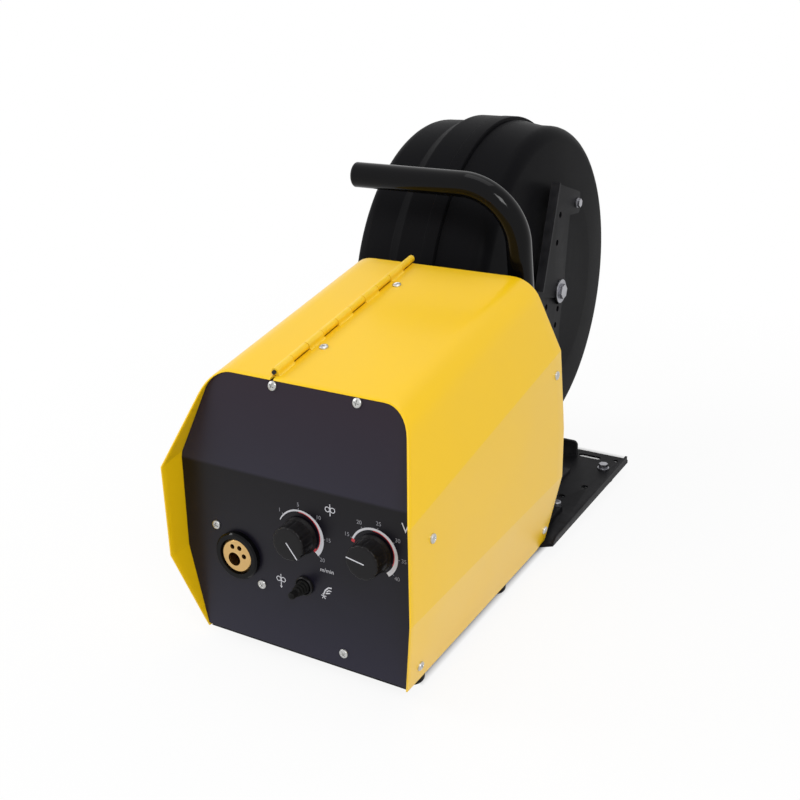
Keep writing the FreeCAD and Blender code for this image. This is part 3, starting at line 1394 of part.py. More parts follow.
upper_arm.pad("YZ", stand_right, stand_right + stand_gauge, outline([
    (arm_front_foot, arm_front_foot_up), (arm_front_foot + 9, arm_front_foot_up - 9),
    (spool_along - 8, spool_up - 6), (spool_along - 2, spool_up - 16),
    (spool_along + 13, spool_up - 15), (spool_along + 17, spool_up - 3),
    (arm_waist_front, arm_waist_up), (arm_neck_along, arm_neck_up), (ear_rear, ear_low),
    (ear_rear, ear_high), (arm_front_tip, arm_front_tip_up)], {3: 3, 4: 5, 8: 4, 9: 4}),
    circle(spool_along, spool_up, axle_radius + play),
    circle(ear_bolt_along, ear_bolt_up, axle_radius - 3),
    circle(arm_front_tip + 21, ear_bolt_up - 4, stand_hole),
    circle(arm_front_tip + 14, ear_bolt_up - 34, stand_hole))
upper_arm.pad("YZ", stand_right + stand_gauge, stand_right + stand_gauge + arm_edge_rise,
              outline([(arm_front_foot, arm_front_foot_up),
                       (arm_front_foot + stand_gauge, arm_front_foot_up - 1),
                       (arm_front_tip + stand_gauge, arm_front_tip_up - 1),
                       (arm_front_tip, arm_front_tip_up)]))
upper_arm.place()


def hex_bolt(piece, right, along, up, head, rise, washer):
    """A bolt across the stand with its washer and six-sided head on the right."""
    piece.pad("YZ", right, right + washer_gauge, circle(along, up, washer))
    points = []
    for corner in range(6):
        angle = sized(60 * corner + 20)
        points.append((sized(along) + head * cos_of(angle), sized(up) + head * sin_of(angle)))
    start = right + washer_gauge
    piece.pad("YZ", start, start + rise, outline(points))


arm_bolts = Piece("arm_bolts")
arm_right_face = stand_right + stand_gauge
hex_bolt(arm_bolts, arm_right_face, ear_bolt_along, ear_bolt_up, ear_bolt_head, 3, 5.5)
arm_bolts.pad("YZ", stand_right - 3, arm_right_face,
              circle(ear_bolt_along, ear_bolt_up, axle_radius - 3 - running))
arm_bolts.place()

# Spool axle: one long bolt through the stand, the cover's centre and the hub.
axle = Piece("spool_axle")
nut_right = hub_left + hub_recess_depth - 0.4
nut_left = nut_right - axle_nut_depth
head_left = arm_right_face + axle_washer_gauge
axle.turn("X", [(nut_left, 0), (nut_left, axle_nut), (nut_right, axle_nut),
                (nut_right, axle_radius - 0.5), (arm_right_face, axle_radius - 0.5),
                (arm_right_face, axle_washer), (head_left, axle_washer), (head_left, 0)],
          centre=(spool_along, spool_up))
points = []
for corner in range(6):
    angle = sized(60 * corner + 10)
    points.append((spool_along + axle_head * cos_of(angle),
                   spool_up + axle_head * sin_of(angle)))
axle.pad("YZ", head_left, head_left + axle_head_rise, outline(points))
axle.place()
spacer = Piece("axle_spacer")
spacer.turn("X", [(cover_right + 0.4, axle_radius), (cover_right + 0.4, 20),
                  (cover_right + 3, 20), (cover_right + 3, 12), (stand_across, 12),
                  (stand_across, axle_radius)], centre=(spool_along, spool_up))
spacer.place()

# Brake hub that carries the wire spool, and the screw cap that locks it on.
hub = Piece("brake_hub")
hub.turn("X", [(hub_right, axle_radius), (hub_right, hub_flange), (hub_right - 5, hub_flange),
               (hub_right - 5, hub_radius), (hub_left, hub_radius), (hub_left, hub_recess),
               (hub_left + hub_recess_depth, hub_recess),
               (hub_left + hub_recess_depth, axle_radius)],
         centre=(spool_along, spool_up))
hub.pad("YZ", hub_right - 20, hub_right - 5, circle(spool_along + 44, spool_up, 4.5))
hub.pad("YZ", hub_right - 5, hub_right, box_outline(spool_along + 20, spool_up - 9,
                                                  spool_along + 52, spool_up + 9, 5))
hub.place()
hub_cap = Piece("hub_cap")
spigot = hub_recess - running
hub_cap.turn("X", [(hub_left + hub_spigot_depth, 0), (hub_left + hub_spigot_depth, spigot),
                   (hub_left - 0.5, spigot), (hub_left - 0.5, hub_radius - 2),
                   (hub_left - 6, hub_radius - 2), (hub_left_cap, 16), (hub_left_cap, 0)])
hub_cap.place(0, spool_along, spool_up)


# Spool cover: two dished shells that meet at the seam.
right_in, left_in = cover_right - cover_wall, cover_left + cover_wall
inner = cover_radius - cover_wall
right_shell = Piece("cover_right_shell")
seam = cover_seam
right_shell.turn("X", [
    (seam, inner), (seam, cover_band), (seam + cover_band_width, cover_radius),
    (cover_right - cover_dish, cover_radius), (cover_right, cover_radius - cover_face),
    (cover_right, axle_radius), (right_in, axle_radius), (right_in, cover_radius - cover_face),
    (right_in - cover_dish, inner)],
    {3: cover_round, 8: cover_round - cover_wall}, centre=(spool_along, spool_up))
gap_rear = case_rear + cover_gap
gap_low = rear_bend_up - cover_face
gap_front = gap_rear - cover_radius / 2
case_gap = outline([(gap_front, gap_low), (gap_rear, gap_low), (gap_rear, rear_bend_up),
                    (gap_rear - rear_reach, form_reach), (gap_front, form_reach)])
right_shell.cut("YZ", cover_seam - 1, cover_right + 1, case_gap)
for low in (spool_up - cover_lug * 1.5, spool_up + cover_lug * 0.5 + 0.5):
    right_shell.pad("XY", low, low + cover_lug - 0.5,
                    outline([(seam, cover_hinge - cover_lug), (seam + 7, cover_hinge - cover_lug),
                             (seam + cover_knuckle, cover_hinge), (seam, cover_hinge)]))
    right_shell.pad("XY", low, low + cover_lug - 0.5,
                    circle(seam, cover_hinge, cover_knuckle))
    right_shell.cut("XY", low - 1, low + cover_lug + 1, circle(seam, cover_hinge, cover_pin))
right_shell.place()
left_shell = Piece("cover_left_shell")
lip_left = seam - cover_lip_width
ledge_left = lip_left - cover_ledge_width
ramp_left = ledge_left - cover_ramp
left_shell.turn("X", [
    (seam - 0.4, inner), (seam - 0.4, cover_lip), (lip_left, cover_lip),
    (lip_left, cover_ledge), (ledge_left, cover_ledge), (ramp_left, cover_ramp_foot),
    (cover_left + cover_dish, cover_radius), (cover_left, cover_radius - cover_face),
    (cover_left, 0), (left_in, 0), (left_in, cover_radius - cover_face),
    (left_in + cover_dish, inner)],
    {6: cover_round, 11: cover_round - cover_wall}, centre=(spool_along, spool_up))
left_shell.cut("YZ", cover_left - 1, cover_seam, case_gap)
low, high = spool_up - cover_lug / 2 + 0.5, spool_up + cover_lug / 2
left_shell.pad("XY", low, high, outline([
    (seam - 0.4, cover_hinge - cover_lug), (seam, cover_hinge),
    (seam - cover_knuckle, cover_hinge), (seam - 7, cover_hinge - cover_lug)]))
left_shell.pad("XY", low, high, circle(seam, cover_hinge, cover_knuckle))
left_shell.cut("XY", low - 1, high + 1,
               circle(seam, cover_hinge, cover_pin + running))
for low in (spool_along - 7, spool_along + 4):
    left_shell.pad("XZ", low, low + 3,
                   box_outline(clip_across - 3, clip_up - 2, clip_across + 3, clip_up + 5))
left_shell.pad("XZ", spool_along - 5, spool_along + 5, circle(clip_across, clip_up, 1.5))
left_shell.place()
cover_hinge_pin = Piece("cover_hinge_pin")
cover_hinge_pin.turn("Z", [(spool_up - cover_lug * 1.5 - 1, 0),
                           (spool_up - cover_lug * 1.5 - 1, cover_pin),
                           (spool_up + cover_lug * 1.5 + 1, cover_pin),
                           (spool_up + cover_lug * 1.5 + 1, 0)], centre=(seam, cover_hinge))
cover_hinge_pin.place()
clip = Piece("cover_clip")
clip.pad("XZ", -3.6, 3.6, circle(0, 0, 2.8), circle(0, 0, 1.5 + running))
clip.pad("XZ", -3.6, 3.6, outline([(0, -2.8), (5, -2.8), (5, -1), (2.2, -1)]))
clip.pad("XZ", -10, 10, outline([(4, -2.8), (22, -2.8), (24, -0.8), (22, -0.8), (21, -1),
                                 (4, -1)]))
clip.place(clip_across, spool_along, clip_up)

# Carrying handle: one bent tube from its closed end over the case down to the tray.
lean_back = FreeCAD.Vector(1, 0, 0)
post_length = (handle_up - handle_foot_up) / cos_of(handle_lean)
handle = Piece("handle_tube")


def handle_line(sketch):
    """The tube's centre line: straight, one bend, straight."""
    turn_at = FreeCAD.Vector((handle_post - handle_bend).number, 0, 0)
    down_at = FreeCAD.Vector(handle_post.number, -handle_bend.number, 0)
    middle = FreeCAD.Vector((handle_post - handle_bend).number, -handle_bend.number, 0)
    run = Part.LineSegment(vector(handle_left, 0), turn_at)
    bend = Part.ArcOfCircle(Part.Circle(middle, FreeCAD.Vector(0, 0, 1), handle_bend.number),
                            0, math.pi / 2)
    post = Part.LineSegment(down_at, vector(handle_post, -post_length))
    run, bend, post = [sketch.addGeometry(line, False) for line in (run, bend, post)]
    sketch.addConstraint(Sketcher.Constraint("Tangent", run, 2, bend, 2))
    sketch.addConstraint(Sketcher.Constraint("Tangent", bend, 1, post, 1))
    pin(sketch, run, 1, handle_left, 0)
    sketch.addConstraint(Sketcher.Constraint("Horizontal", run))
    datum(sketch, "Radius", handle_bend, bend)
    pin(sketch, post, 2, handle_post, -post_length)


path = handle.sketch("XZ", 0, [handle_line])
section = handle.sketch("YZ", handle_left, [circle(0, 0, tube_radius),
                                            circle(0, 0, tube_radius - tube_wall)])
tube = handle.feature("AdditivePipe", section)
tube.Spine = (path, [])
handle.place(0, handle_along, handle_up, lean_back, handle_lean)
handle_cap = Piece("handle_cap")
cap_left = handle_left - 2
handle_cap.turn("X", [(cap_left, 0), (cap_left, tube_radius - 1.5), (cap_left + 1.5, tube_radius),
                      (handle_left, tube_radius), (handle_left, tube_radius - tube_wall),
                      (handle_left + 14, tube_radius - tube_wall), (handle_left + 14, 0)])
handle_cap.place(0, handle_along, handle_up, lean_back, handle_lean)


def post_at(up):
    """How far back the handle's post is at a height."""
    return handle_along + (handle_up - sized(up)) * tan_of(handle_lean)


post_heading = 90 + handle_lean
foot = Piece("handle_foot")
foot_top = tray_gauge + handle_foot_gauge
foot_sleeve = tube_radius + sleeve_wall
foot_centre = post_at(foot_top)
foot.pad("XY", tray_gauge, foot_top,
         box_outline(handle_post - handle_foot_half, foot_centre - handle_foot_half,
                     handle_post + handle_foot_half, foot_centre + handle_foot_half, 8))
foot.rod("YZ", handle_post, (post_at(handle_foot_gauge), handle_foot_gauge), post_heading,
         0, sleeve_length, foot_sleeve)
foot.rod("YZ", handle_post, (post_at(handle_foot_gauge), handle_foot_gauge), post_heading,
         (handle_foot_up - handle_foot_gauge) / cos_of(handle_lean), sleeve_length + 16,
         tube_radius, cut=True)
foot.place()
for x_side in (-1, 1):
    for y_side in (-1, 1):
        bolts.turn("Z", [(foot_top, 0), (foot_top, 5), (foot_top + 4, 5),
                         (foot_top + 5, 4), (foot_top + 5, 0)],
                   centre=(handle_post + foot_bolt_step * x_side,
                           foot_centre + foot_bolt_step * y_side))
bolts.place()
clamp = Piece("handle_clamp")
clamp_low_front = back - (clamp_low - rear_bend_up) * roof_rise
clamp_high_front = back - (clamp_high - rear_bend_up) * roof_rise
clamp.pad("YZ", handle_post - foot_sleeve, handle_post + foot_sleeve, outline([
    (clamp_low_front, clamp_low), (post_at(clamp_low) + foot_sleeve, clamp_low),
    (post_at(clamp_high) + foot_sleeve, clamp_high), (clamp_high_front, clamp_high)]))
clamp.rod("YZ", handle_post, (post_at(clamp_low), clamp_low), post_heading, -20, 50,
          tube_radius, cut=True)
clamp.place()


doc.recompute()
failed = [o.Name for o in doc.Objects if "Invalid" in o.State or "Error" in o.State]
for piece in pieces:
    if piece.Shape.isNull() or not piece.Shape.isValid() or not piece.Shape.Solids:
        failed.append(piece.Label)
for made in doc.Objects:
    if made.TypeId in ("PartDesign::Pocket", "PartDesign::Groove"):
        if made.BaseFeature.Shape.Volume - made.Shape.Volume < 0.01:
            failed.append(made.Name + " cuts nothing")
if failed:
    raise RuntimeError("not built: " + ", ".join(failed))
for piece in pieces:
    piece.Shape.exportStep("parts/%s.step" % piece.Label)
print(len(pieces), "pieces written")
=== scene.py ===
import json
import math
import bmesh
import bpy
import numpy as np
from mathutils import Matrix, Vector

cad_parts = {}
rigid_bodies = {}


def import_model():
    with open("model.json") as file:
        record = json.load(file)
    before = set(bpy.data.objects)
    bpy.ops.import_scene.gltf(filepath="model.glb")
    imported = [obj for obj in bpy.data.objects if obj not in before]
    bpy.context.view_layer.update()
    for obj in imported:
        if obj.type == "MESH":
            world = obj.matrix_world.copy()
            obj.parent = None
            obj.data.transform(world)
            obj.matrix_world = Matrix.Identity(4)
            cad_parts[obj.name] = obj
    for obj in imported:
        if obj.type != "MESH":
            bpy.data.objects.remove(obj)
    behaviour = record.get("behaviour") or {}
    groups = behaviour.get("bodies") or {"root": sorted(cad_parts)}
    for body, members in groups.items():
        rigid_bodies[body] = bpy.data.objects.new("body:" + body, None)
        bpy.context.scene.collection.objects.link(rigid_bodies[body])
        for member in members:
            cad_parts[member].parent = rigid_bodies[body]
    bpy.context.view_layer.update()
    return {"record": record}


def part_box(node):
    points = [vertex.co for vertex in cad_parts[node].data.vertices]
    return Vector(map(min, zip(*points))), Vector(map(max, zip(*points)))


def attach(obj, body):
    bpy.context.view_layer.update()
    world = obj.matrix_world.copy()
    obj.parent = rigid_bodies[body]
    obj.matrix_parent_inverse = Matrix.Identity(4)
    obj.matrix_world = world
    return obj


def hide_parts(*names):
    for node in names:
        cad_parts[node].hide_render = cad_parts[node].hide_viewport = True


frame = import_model()

# The case's own frame, in mm: x across, y from the front to the rear, z up. SHIFT is where
# that frame's origin stands in the model.
SHIFT = np.array([-1.2, -344.0, 14.0])

# Corners of the case's mouth in its side view, as (y, z): panel foot, panel bend and brow.
PANEL_FOOT, PANEL_BEND, BROW = (22.65, 4), (26.7, 171), (49, 254.5)
PANEL_LEAN = math.atan((PANEL_BEND[0] - PANEL_FOOT[0]) / (PANEL_BEND[1] - PANEL_FOOT[1]))
HEAD_LEAN = math.atan((BROW[0] - PANEL_BEND[0]) / (BROW[1] - PANEL_BEND[1]))

# The roof rises to the rear; BROW_FRONT is its height carried forward to y = 0.
ROOF = math.radians(10)
ROOF_RISE = math.tan(ROOF)
BROW_FRONT = BROW[1] - BROW[0] * ROOF_RISE
HINGE_LINE, HINGE_FRONT = -34, 53.5

# Half widths and heights of the case's outline: wall, foot, low bend and side bend.
HALF, FOOT_HALF, LOW_BEND, SIDE_BEND = 126, 108, 82.7, 171.5
LOW_LEAN = math.atan((HALF - FOOT_HALF) / LOW_BEND)


def model(point):
    """A point of the case's frame in mm, as a place in the model in metres."""
    return (np.asarray(point, float) + SHIFT) / 1000


# Camera, at the photograph's place and angle. The three rows are its own directions.
CAMERA_PLACE = (511.62, -665.63, 592.11)
RIGHT = (0.86626379, 0.49915781, -0.02070076)
UP = (-0.17017816, 0.33378641, 0.92716019)
BACK = (0.46970888, -0.79964249, 0.37409284)
scene = bpy.context.scene
lens = bpy.data.cameras.new("camera")
lens.lens = 50.49
lens.sensor_width = 36
lens.clip_start = 0.05
camera = bpy.data.objects.new("camera", lens)
scene.collection.objects.link(camera)
scene.camera = camera
turned = Matrix((RIGHT, UP, BACK)).transposed().to_4x4()
camera.matrix_world = Matrix.Translation(Vector(model(CAMERA_PLACE))) @ turned
scene.view_settings.view_transform = "Standard"


# Materials.
def node(tree, kind, **values):
    """Adds a shader node; inputs are named, links given as sockets."""
    made = tree.nodes.new(kind)
    for name, value in values.items():
        spot = name.replace("_", " ")
        if hasattr(made, name) and name not in made.inputs and spot not in made.inputs:
            setattr(made, name, value)
            continue
        socket = made.inputs[spot] if spot in made.inputs else made.inputs[name]
        if isinstance(value, bpy.types.NodeSocket):
            tree.links.new(value, socket)
        else:
            socket.default_value = value
    return made


def group(name, inputs, outputs, build):
    """A shared node group: inputs are (name, kind, default) and outputs (name, kind)."""
    tree = bpy.data.node_groups.new(name, "ShaderNodeTree")
    for label, kind, value in inputs:
        socket = tree.interface.new_socket(label, in_out="INPUT", socket_type="NodeSocket" + kind)
        socket.default_value = value
    for label, kind in outputs:
        tree.interface.new_socket(label, in_out="OUTPUT", socket_type="NodeSocket" + kind)
    start = tree.nodes.new("NodeGroupInput")
    end = tree.nodes.new("NodeGroupOutput")
    for label, socket in build(tree, start.outputs).items():
        tree.links.new(socket, end.inputs[label])
    return tree


def build_wear_and_highlight(tree, given):
    """Edge mask for painted edge highlights and wear, broad tint and fine bump from the object's
    own coordinates.
    """
    where = tree.nodes.new("ShaderNodeTexCoord").outputs["Object"]
    shape = tree.nodes.new("ShaderNodeNewGeometry")
    ramp = node(tree, "ShaderNodeMapRange", Value=shape.outputs["Pointiness"])
    ramp.inputs["From Min"].default_value = 0.53
    ramp.inputs["From Max"].default_value = 0.62
    break_up = node(tree, "ShaderNodeTexNoise", Vector=where, Scale=90.0, Detail=3.0)
    cut = node(tree, "ShaderNodeMath", operation="MULTIPLY")
    tree.links.new(ramp.outputs["Result"], cut.inputs[0])
    tree.links.new(break_up.outputs["Fac"], cut.inputs[1])
    broad = node(tree, "ShaderNodeTexNoise", Vector=where, Scale=given["Broad"], Detail=4.0)
    fine = node(tree, "ShaderNodeTexNoise", Vector=where, Scale=given["Fine"], Detail=2.0)
    bump = node(tree, "ShaderNodeBump", Strength=given["Bump"], Distance=0.0004,
                Height=fine.outputs["Fac"])
    return {"Edge": cut.outputs["Value"], "Tint": broad.outputs["Fac"],
            "Normal": bump.outputs["Normal"]}


WEAR_AND_HIGHLIGHT = group("surface_wear_and_highlight",
             [("Broad", "Float", 12.0), ("Fine", "Float", 900.0), ("Bump", "Float", 0.1)],
             [("Edge", "Float"), ("Tint", "Float"), ("Normal", "Vector")], build_wear_and_highlight)


def finish(name, colour, rough, metal=0.0, fine=900.0, bump=0.08, vary=0.06, highlit_worn_edge=None,
           coat=0.0, broad=12.0, specular=0.5, rough_vary=0.08, heights=()):
    """A surface with grain, broad tint, roughness changes and lighter edges: a painted highlight
    with wear.

    fine and broad are the two noise scales, bump the grain's depth, vary the share by which
    the colour changes and rough_vary the step of the roughness. The edge colour is the lighter
    colour of the edges: a painted highlight along them, with wear. heights are (height in
    metres, colour) stops that multiply the colour: painted shading, for a surface that the
    room lights differently from its foot to its top.
    """
    made = bpy.data.materials.new(name)
    made.use_nodes = True
    tree = made.node_tree
    shader = tree.nodes["Principled BSDF"]
    wear_and_highlight = tree.nodes.new("ShaderNodeGroup")
    wear_and_highlight.node_tree = WEAR_AND_HIGHLIGHT
    wear_and_highlight.inputs["Fine"].default_value = fine
    wear_and_highlight.inputs["Bump"].default_value = bump
    wear_and_highlight.inputs["Broad"].default_value = broad
    dark = [c * (1 - vary) for c in colour] + [1]
    light = [min(1, c * (1 + vary)) for c in colour] + [1]
    tint = node(tree, "ShaderNodeMix", data_type="RGBA")
    tree.links.new(wear_and_highlight.outputs["Tint"], tint.inputs["Factor"])
    tint.inputs[6].default_value = dark
    tint.inputs[7].default_value = light
    colour_out = tint.outputs[2]
    # Painted shading: the colour is multiplied by a ramp over the height, for light that falls
    # differently from the foot to the top.
    if heights:
        where = tree.nodes.new("ShaderNodeTexCoord").outputs["Object"]
        apart = node(tree, "ShaderNodeSeparateXYZ", Vector=where)
        level = node(tree, "ShaderNodeMapRange", Value=apart.outputs["Z"])
        level.inputs["From Min"].default_value = heights[0][0]
        level.inputs["From Max"].default_value = heights[-1][0]
        ramp = node(tree, "ShaderNodeValToRGB", Fac=level.outputs["Result"])
        stops = ramp.color_ramp.elements
        span = heights[-1][0] - heights[0][0]
        for up, shade in heights[1:-1]:
            stops.new((up - heights[0][0]) / span).color = list(shade) + [1]
        stops[0].color = list(heights[0][1]) + [1]
        stops[-1].color = list(heights[-1][1]) + [1]
        shaded = node(tree, "ShaderNodeMix", data_type="RGBA", blend_type="MULTIPLY")
        shaded.inputs["Factor"].default_value = 1
        tree.links.new(ramp.outputs["Color"], shaded.inputs[6])
        tree.links.new(colour_out, shaded.inputs[7])
        colour_out = shaded.outputs[2]
    if highlit_worn_edge is not None:
        # Painted highlight with wear: the edges take the lighter edge colour.
        highlit_worn = node(tree, "ShaderNodeMix", data_type="RGBA")
        tree.links.new(wear_and_highlight.outputs["Edge"], highlit_worn.inputs["Factor"])
        tree.links.new(colour_out, highlit_worn.inputs[6])
        highlit_worn.inputs[7].default_value = list(highlit_worn_edge) + [1]
        colour_out = highlit_worn.outputs[2]
    tree.links.new(colour_out, shader.inputs["Base Color"])
    soft = node(tree, "ShaderNodeMapRange", Value=wear_and_highlight.outputs["Tint"])
    soft.inputs["To Min"].default_value = max(0.02, rough - rough_vary)
    soft.inputs["To Max"].default_value = min(1, rough + rough_vary)
    tree.links.new(soft.outputs["Result"], shader.inputs["Roughness"])
    tree.links.new(wear_and_highlight.outputs["Normal"], shader.inputs["Normal"])
    shader.inputs["Metallic"].default_value = metal
    shader.inputs["Coat Weight"].default_value = coat
    shader.inputs["Coat Roughness"].default_value = 0.15
    shader.inputs["Specular IOR Level"].default_value = specular
    return made


# The lighter edge colours paint a highlight along the edges, with wear.
YELLOW = finish("yellow_powder", (0.93, 0.575, 0.003), 0.34, bump=0.05, vary=0.025, fine=700,
                highlit_worn_edge=(0.98, 0.7, 0.08), coat=0.1, specular=0.35)

# Painted shading of the panel by height: lighter at its foot, darker through the middle to a
# painted shade at the bend, then its upper part, which leans back and is painted lighter, as the
# room lights it.
PANEL_PAINTED_SHADING = ((0.02, (0.014, 0.0125, 0.028)), (0.1, (0.0065, 0.0055, 0.012)),
                (0.184, (0.0026, 0.0018, 0.0035)), (0.1865, (0.021, 0.0185, 0.032)),
                (0.268, (0.02, 0.012, 0.021)))
PANEL = finish("panel_black", (0.95, 0.95, 0.95), 0.34, bump=0.05, fine=1200, vary=0.05,
               specular=0.22, heights=PANEL_PAINTED_SHADING)
# On the black paint and plastics the edge colour is a painted highlight that shows the edges.
BLACK = finish("black_powder", (0.0068, 0.0066, 0.0078), 0.4, bump=0.12, fine=1100, vary=0.15,
               highlit_worn_edge=(0.08, 0.08, 0.085), specular=0.035)
GLOSS = finish("black_gloss", (0.0022, 0.0022, 0.0028), 0.1, bump=0.02, fine=500, vary=0.1,
               specular=0.13, rough_vary=0.02)
COVER = finish("cover_plastic", (0.0066, 0.0066, 0.0075), 0.4, bump=0.12, fine=1500, vary=0.12,
               highlit_worn_edge=(0.035, 0.035, 0.038), specular=0.012)
DARK = finish("dark_plastic", (0.0075, 0.007, 0.008), 0.36, bump=0.1, fine=1300, vary=0.1,
              highlit_worn_edge=(0.03, 0.03, 0.03), specular=0.16)
RUBBER = finish("rubber", (0.006, 0.006, 0.006), 0.6, bump=0.2, fine=1500, vary=0.1,
                specular=0.1)
ZINC = finish("zinc", (0.5, 0.5, 0.49), 0.33, metal=1.0, bump=0.06, fine=800, vary=0.1,
              highlit_worn_edge=(0.85, 0.85, 0.82))
DULL = finish("dull_zinc", (0.3, 0.3, 0.325), 0.4, metal=1.0, bump=0.08, fine=800, vary=0.15,
              highlit_worn_edge=(0.7, 0.7, 0.72))
BRASS = finish("brass", (0.62, 0.40, 0.16), 0.3, metal=1.0, bump=0.06, fine=900, vary=0.12,
               highlit_worn_edge=(0.85, 0.62, 0.3))
STEEL = finish("steel", (0.5, 0.5, 0.5), 0.3, metal=1.0, bump=0.06, fine=900, vary=0.1,
               highlit_worn_edge=(0.8, 0.8, 0.8))
ALLOY = finish("alloy", (0.62, 0.62, 0.64), 0.45, metal=1.0, bump=0.2, fine=500, vary=0.08)
BOARD = finish("board_green", (0.02, 0.13, 0.05), 0.35, bump=0.1, fine=600, vary=0.2)
BY_SLOT = {"yellow_paint": YELLOW, "black_panel": PANEL, "black_paint": BLACK,
           "black_gloss": GLOSS, "zinc": ZINC, "black_plastic": DARK, "rubber": RUBBER,
           "brass": BRASS, "steel": STEEL, "aluminium": ALLOY, "board_green": BOARD}

# Nodes with a surface of their own within their slot.
OWN = {"cover_left_shell": COVER, "cover_right_shell": COVER, "hinge_pin": BLACK,
       "socket_collar": GLOSS, "arm_bolts": DULL, "tray_bolts": DULL, "spool_axle": DULL}
for part in frame["record"]["subparts"]:
    target = bpy.data.objects[part["node"]]
    chosen = OWN.get(part["node"], BY_SLOT[part["material_slot"]])
    target.data.materials.clear()
    target.data.materials.append(chosen)


# Shapes: grids of points worked out as arrays, in mm in the case's frame.
MERGE = 2e-6  # points closer than this, in metres, become one
BODY_OF = {part: body for body, parts in frame["record"]["behaviour"]["bodies"].items()
           for part in parts}
SLOT_OF = {part["node"]: part["material_slot"] for part in frame["record"]["subparts"]}


def fillet(points, radii, steps=6):
    """Rounds a line's corners: each arc touches both sides of its corner.

    The arc's points are the spoke to its first point turned evenly into the spoke to its
    last one; a radius of 0 leaves the corner as it is.
    """
    points = np.asarray(points, float)
    rounded = []
    for i, here in enumerate(points):
        if radii[i] <= 0:
            rounded.append(here[None])
            continue
        back, ahead = points[i - 1] - here, points[(i + 1) % len(points)] - here
        back, ahead = back / np.linalg.norm(back), ahead / np.linalg.norm(ahead)
        half = math.acos(float(np.clip(back @ ahead, -1, 1))) / 2
        turn = math.pi - 2 * half
        side = back + ahead
        middle = here + side / np.linalg.norm(side) * radii[i] / math.sin(half)
        first = here + back * radii[i] / math.tan(half) - middle
        last = here + ahead * radii[i] / math.tan(half) - middle
        t = np.linspace(0, 1, steps + 1)[:, None]
        rounded.append(middle + (np.sin((1 - t) * turn) * first + np.sin(t * turn) * last)
                       / math.sin(turn))
    return np.vstack(rounded)


def axes(out, up=(0, 0, 1)):
    """Three directions as rows: across, up and out of a surface."""
    out = np.asarray(out, float) / np.linalg.norm(out)
    across = np.cross(up, out)
    across /= np.linalg.norm(across)
    return np.array([across, np.cross(out, across), out])


def set_at(local, origin, turned):
    """Local points (across, up, out) placed at an origin with its directions."""
    return np.asarray(origin, float) + np.asarray(local, float) @ turned


def lathe(profile, origin, turned, count=64, radius=None):
    """Turns (radius, out) pairs about the out direction.

    Across and up are the radius by the angle's cosine and sine; the function radius, if
    given, is added to the radius at each angle and height.
    """
    profile = np.asarray(profile, float)
    angle = np.linspace(0, 2 * math.pi, count, endpoint=False)[None, :]
    r = profile[:, :1] + (0 if radius is None else radius(angle, profile[:, 1:]))
    r = np.maximum(r, 0) * np.ones_like(angle)
    local = np.stack([r * np.cos(angle), r * np.sin(angle),
                      profile[:, 1:] * np.ones_like(angle)], axis=-1)
    return set_at(local, origin, turned)


def grid_faces(rows, columns, wrap_rows, wrap_columns):
    """Four-cornered faces between neighbouring points of a grid."""
    i = np.arange(rows if wrap_rows else rows - 1)[:, None]
    j = np.arange(columns if wrap_columns else columns - 1)[None, :]
    below, beside = (i + 1) % rows, (j + 1) % columns
    quads = [i * columns + j, i * columns + beside, below * columns + beside,
             below * columns + j]
    return np.stack([q * np.ones_like(i * j) for q in quads], axis=-1).reshape(-1, 4)


def build(name, patches, material, body, slot, stands_for=(), sharp=38, ends=False):
    """One mesh from grids (points, wrap rows, wrap columns), merged, facing outwards."""
    points, faces, caps, first = [], [], [], 0
    for grid, wrap_rows, wrap_columns in patches:
        rows, columns = grid.shape[:2]
        points.append(grid.reshape(-1, 3))
        faces.append(grid_faces(rows, columns, wrap_rows, wrap_columns) + first)
        if ends:
            caps.append((np.arange(rows) * columns + first).tolist())
            caps.append((np.arange(rows) * columns + columns - 1 + first).tolist())
        first += rows * columns
    mesh = bpy.data.meshes.new(name)
    mesh.from_pydata(model(np.vstack(points)).tolist(), [], np.vstack(faces).tolist() + caps)
    shape = bmesh.new()
    shape.from_mesh(mesh)
    bmesh.ops.remove_doubles(shape, verts=shape.verts, dist=MERGE)
    bmesh.ops.recalc_face_normals(shape, faces=shape.faces)
    shape.to_mesh(mesh)
    shape.free()
    mesh.shade_smooth()
    mesh.set_sharp_from_angle(angle=math.radians(sharp))
    mesh.materials.append(material)
    made = bpy.data.objects.new(name, mesh)
    scene.collection.objects.link(made)
    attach(made, body)
    if stands_for:
        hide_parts(*stands_for)


def eased(node_name, width=0.35, material=None):
    """A node's own shape with its edges eased, standing for the node."""
    source = bpy.data.objects[node_name]
    mesh = source.data.copy()
    mesh.name = node_name + "_eased"
    shape = bmesh.new()
    shape.from_mesh(mesh)
    bmesh.ops.remove_doubles(shape, verts=shape.verts, dist=MERGE)
    bmesh.ops.dissolve_limit(shape, angle_limit=math.radians(0.4), verts=shape.verts,
                             edges=shape.edges)
    shape.to_mesh(mesh)
    shape.free()
    mesh.shade_smooth()
    mesh.materials.clear()
    mesh.materials.append(material or BY_SLOT[SLOT_OF[node_name]])
    made = bpy.data.objects.new(node_name + "_eased", mesh)
    scene.collection.objects.link(made)
    ease = made.modifiers.new("ease", "BEVEL")
    ease.width = width / 1000
    ease.segments = 2
    ease.limit_method = "ANGLE"
    ease.angle_limit = math.radians(32)
    ease.use_clamp_overlap = True
    even = made.modifiers.new("even", "WEIGHTED_NORMAL")
    even.weight = 80
    even.keep_sharp = True
    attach(made, BODY_OF[node_name])
    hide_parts(node_name)


# Sheet case: the hood and the door, folded from 1.5 mm sheet with a lip at the rear.
# The rear edge stands upright below REAR_BEND and leans forward, square to the roof, above.
UPPER_LEAN = math.radians(19.9)
REAR, REAR_BEND, GAUGE, LIP = 319.5, 138, 1.5, 10

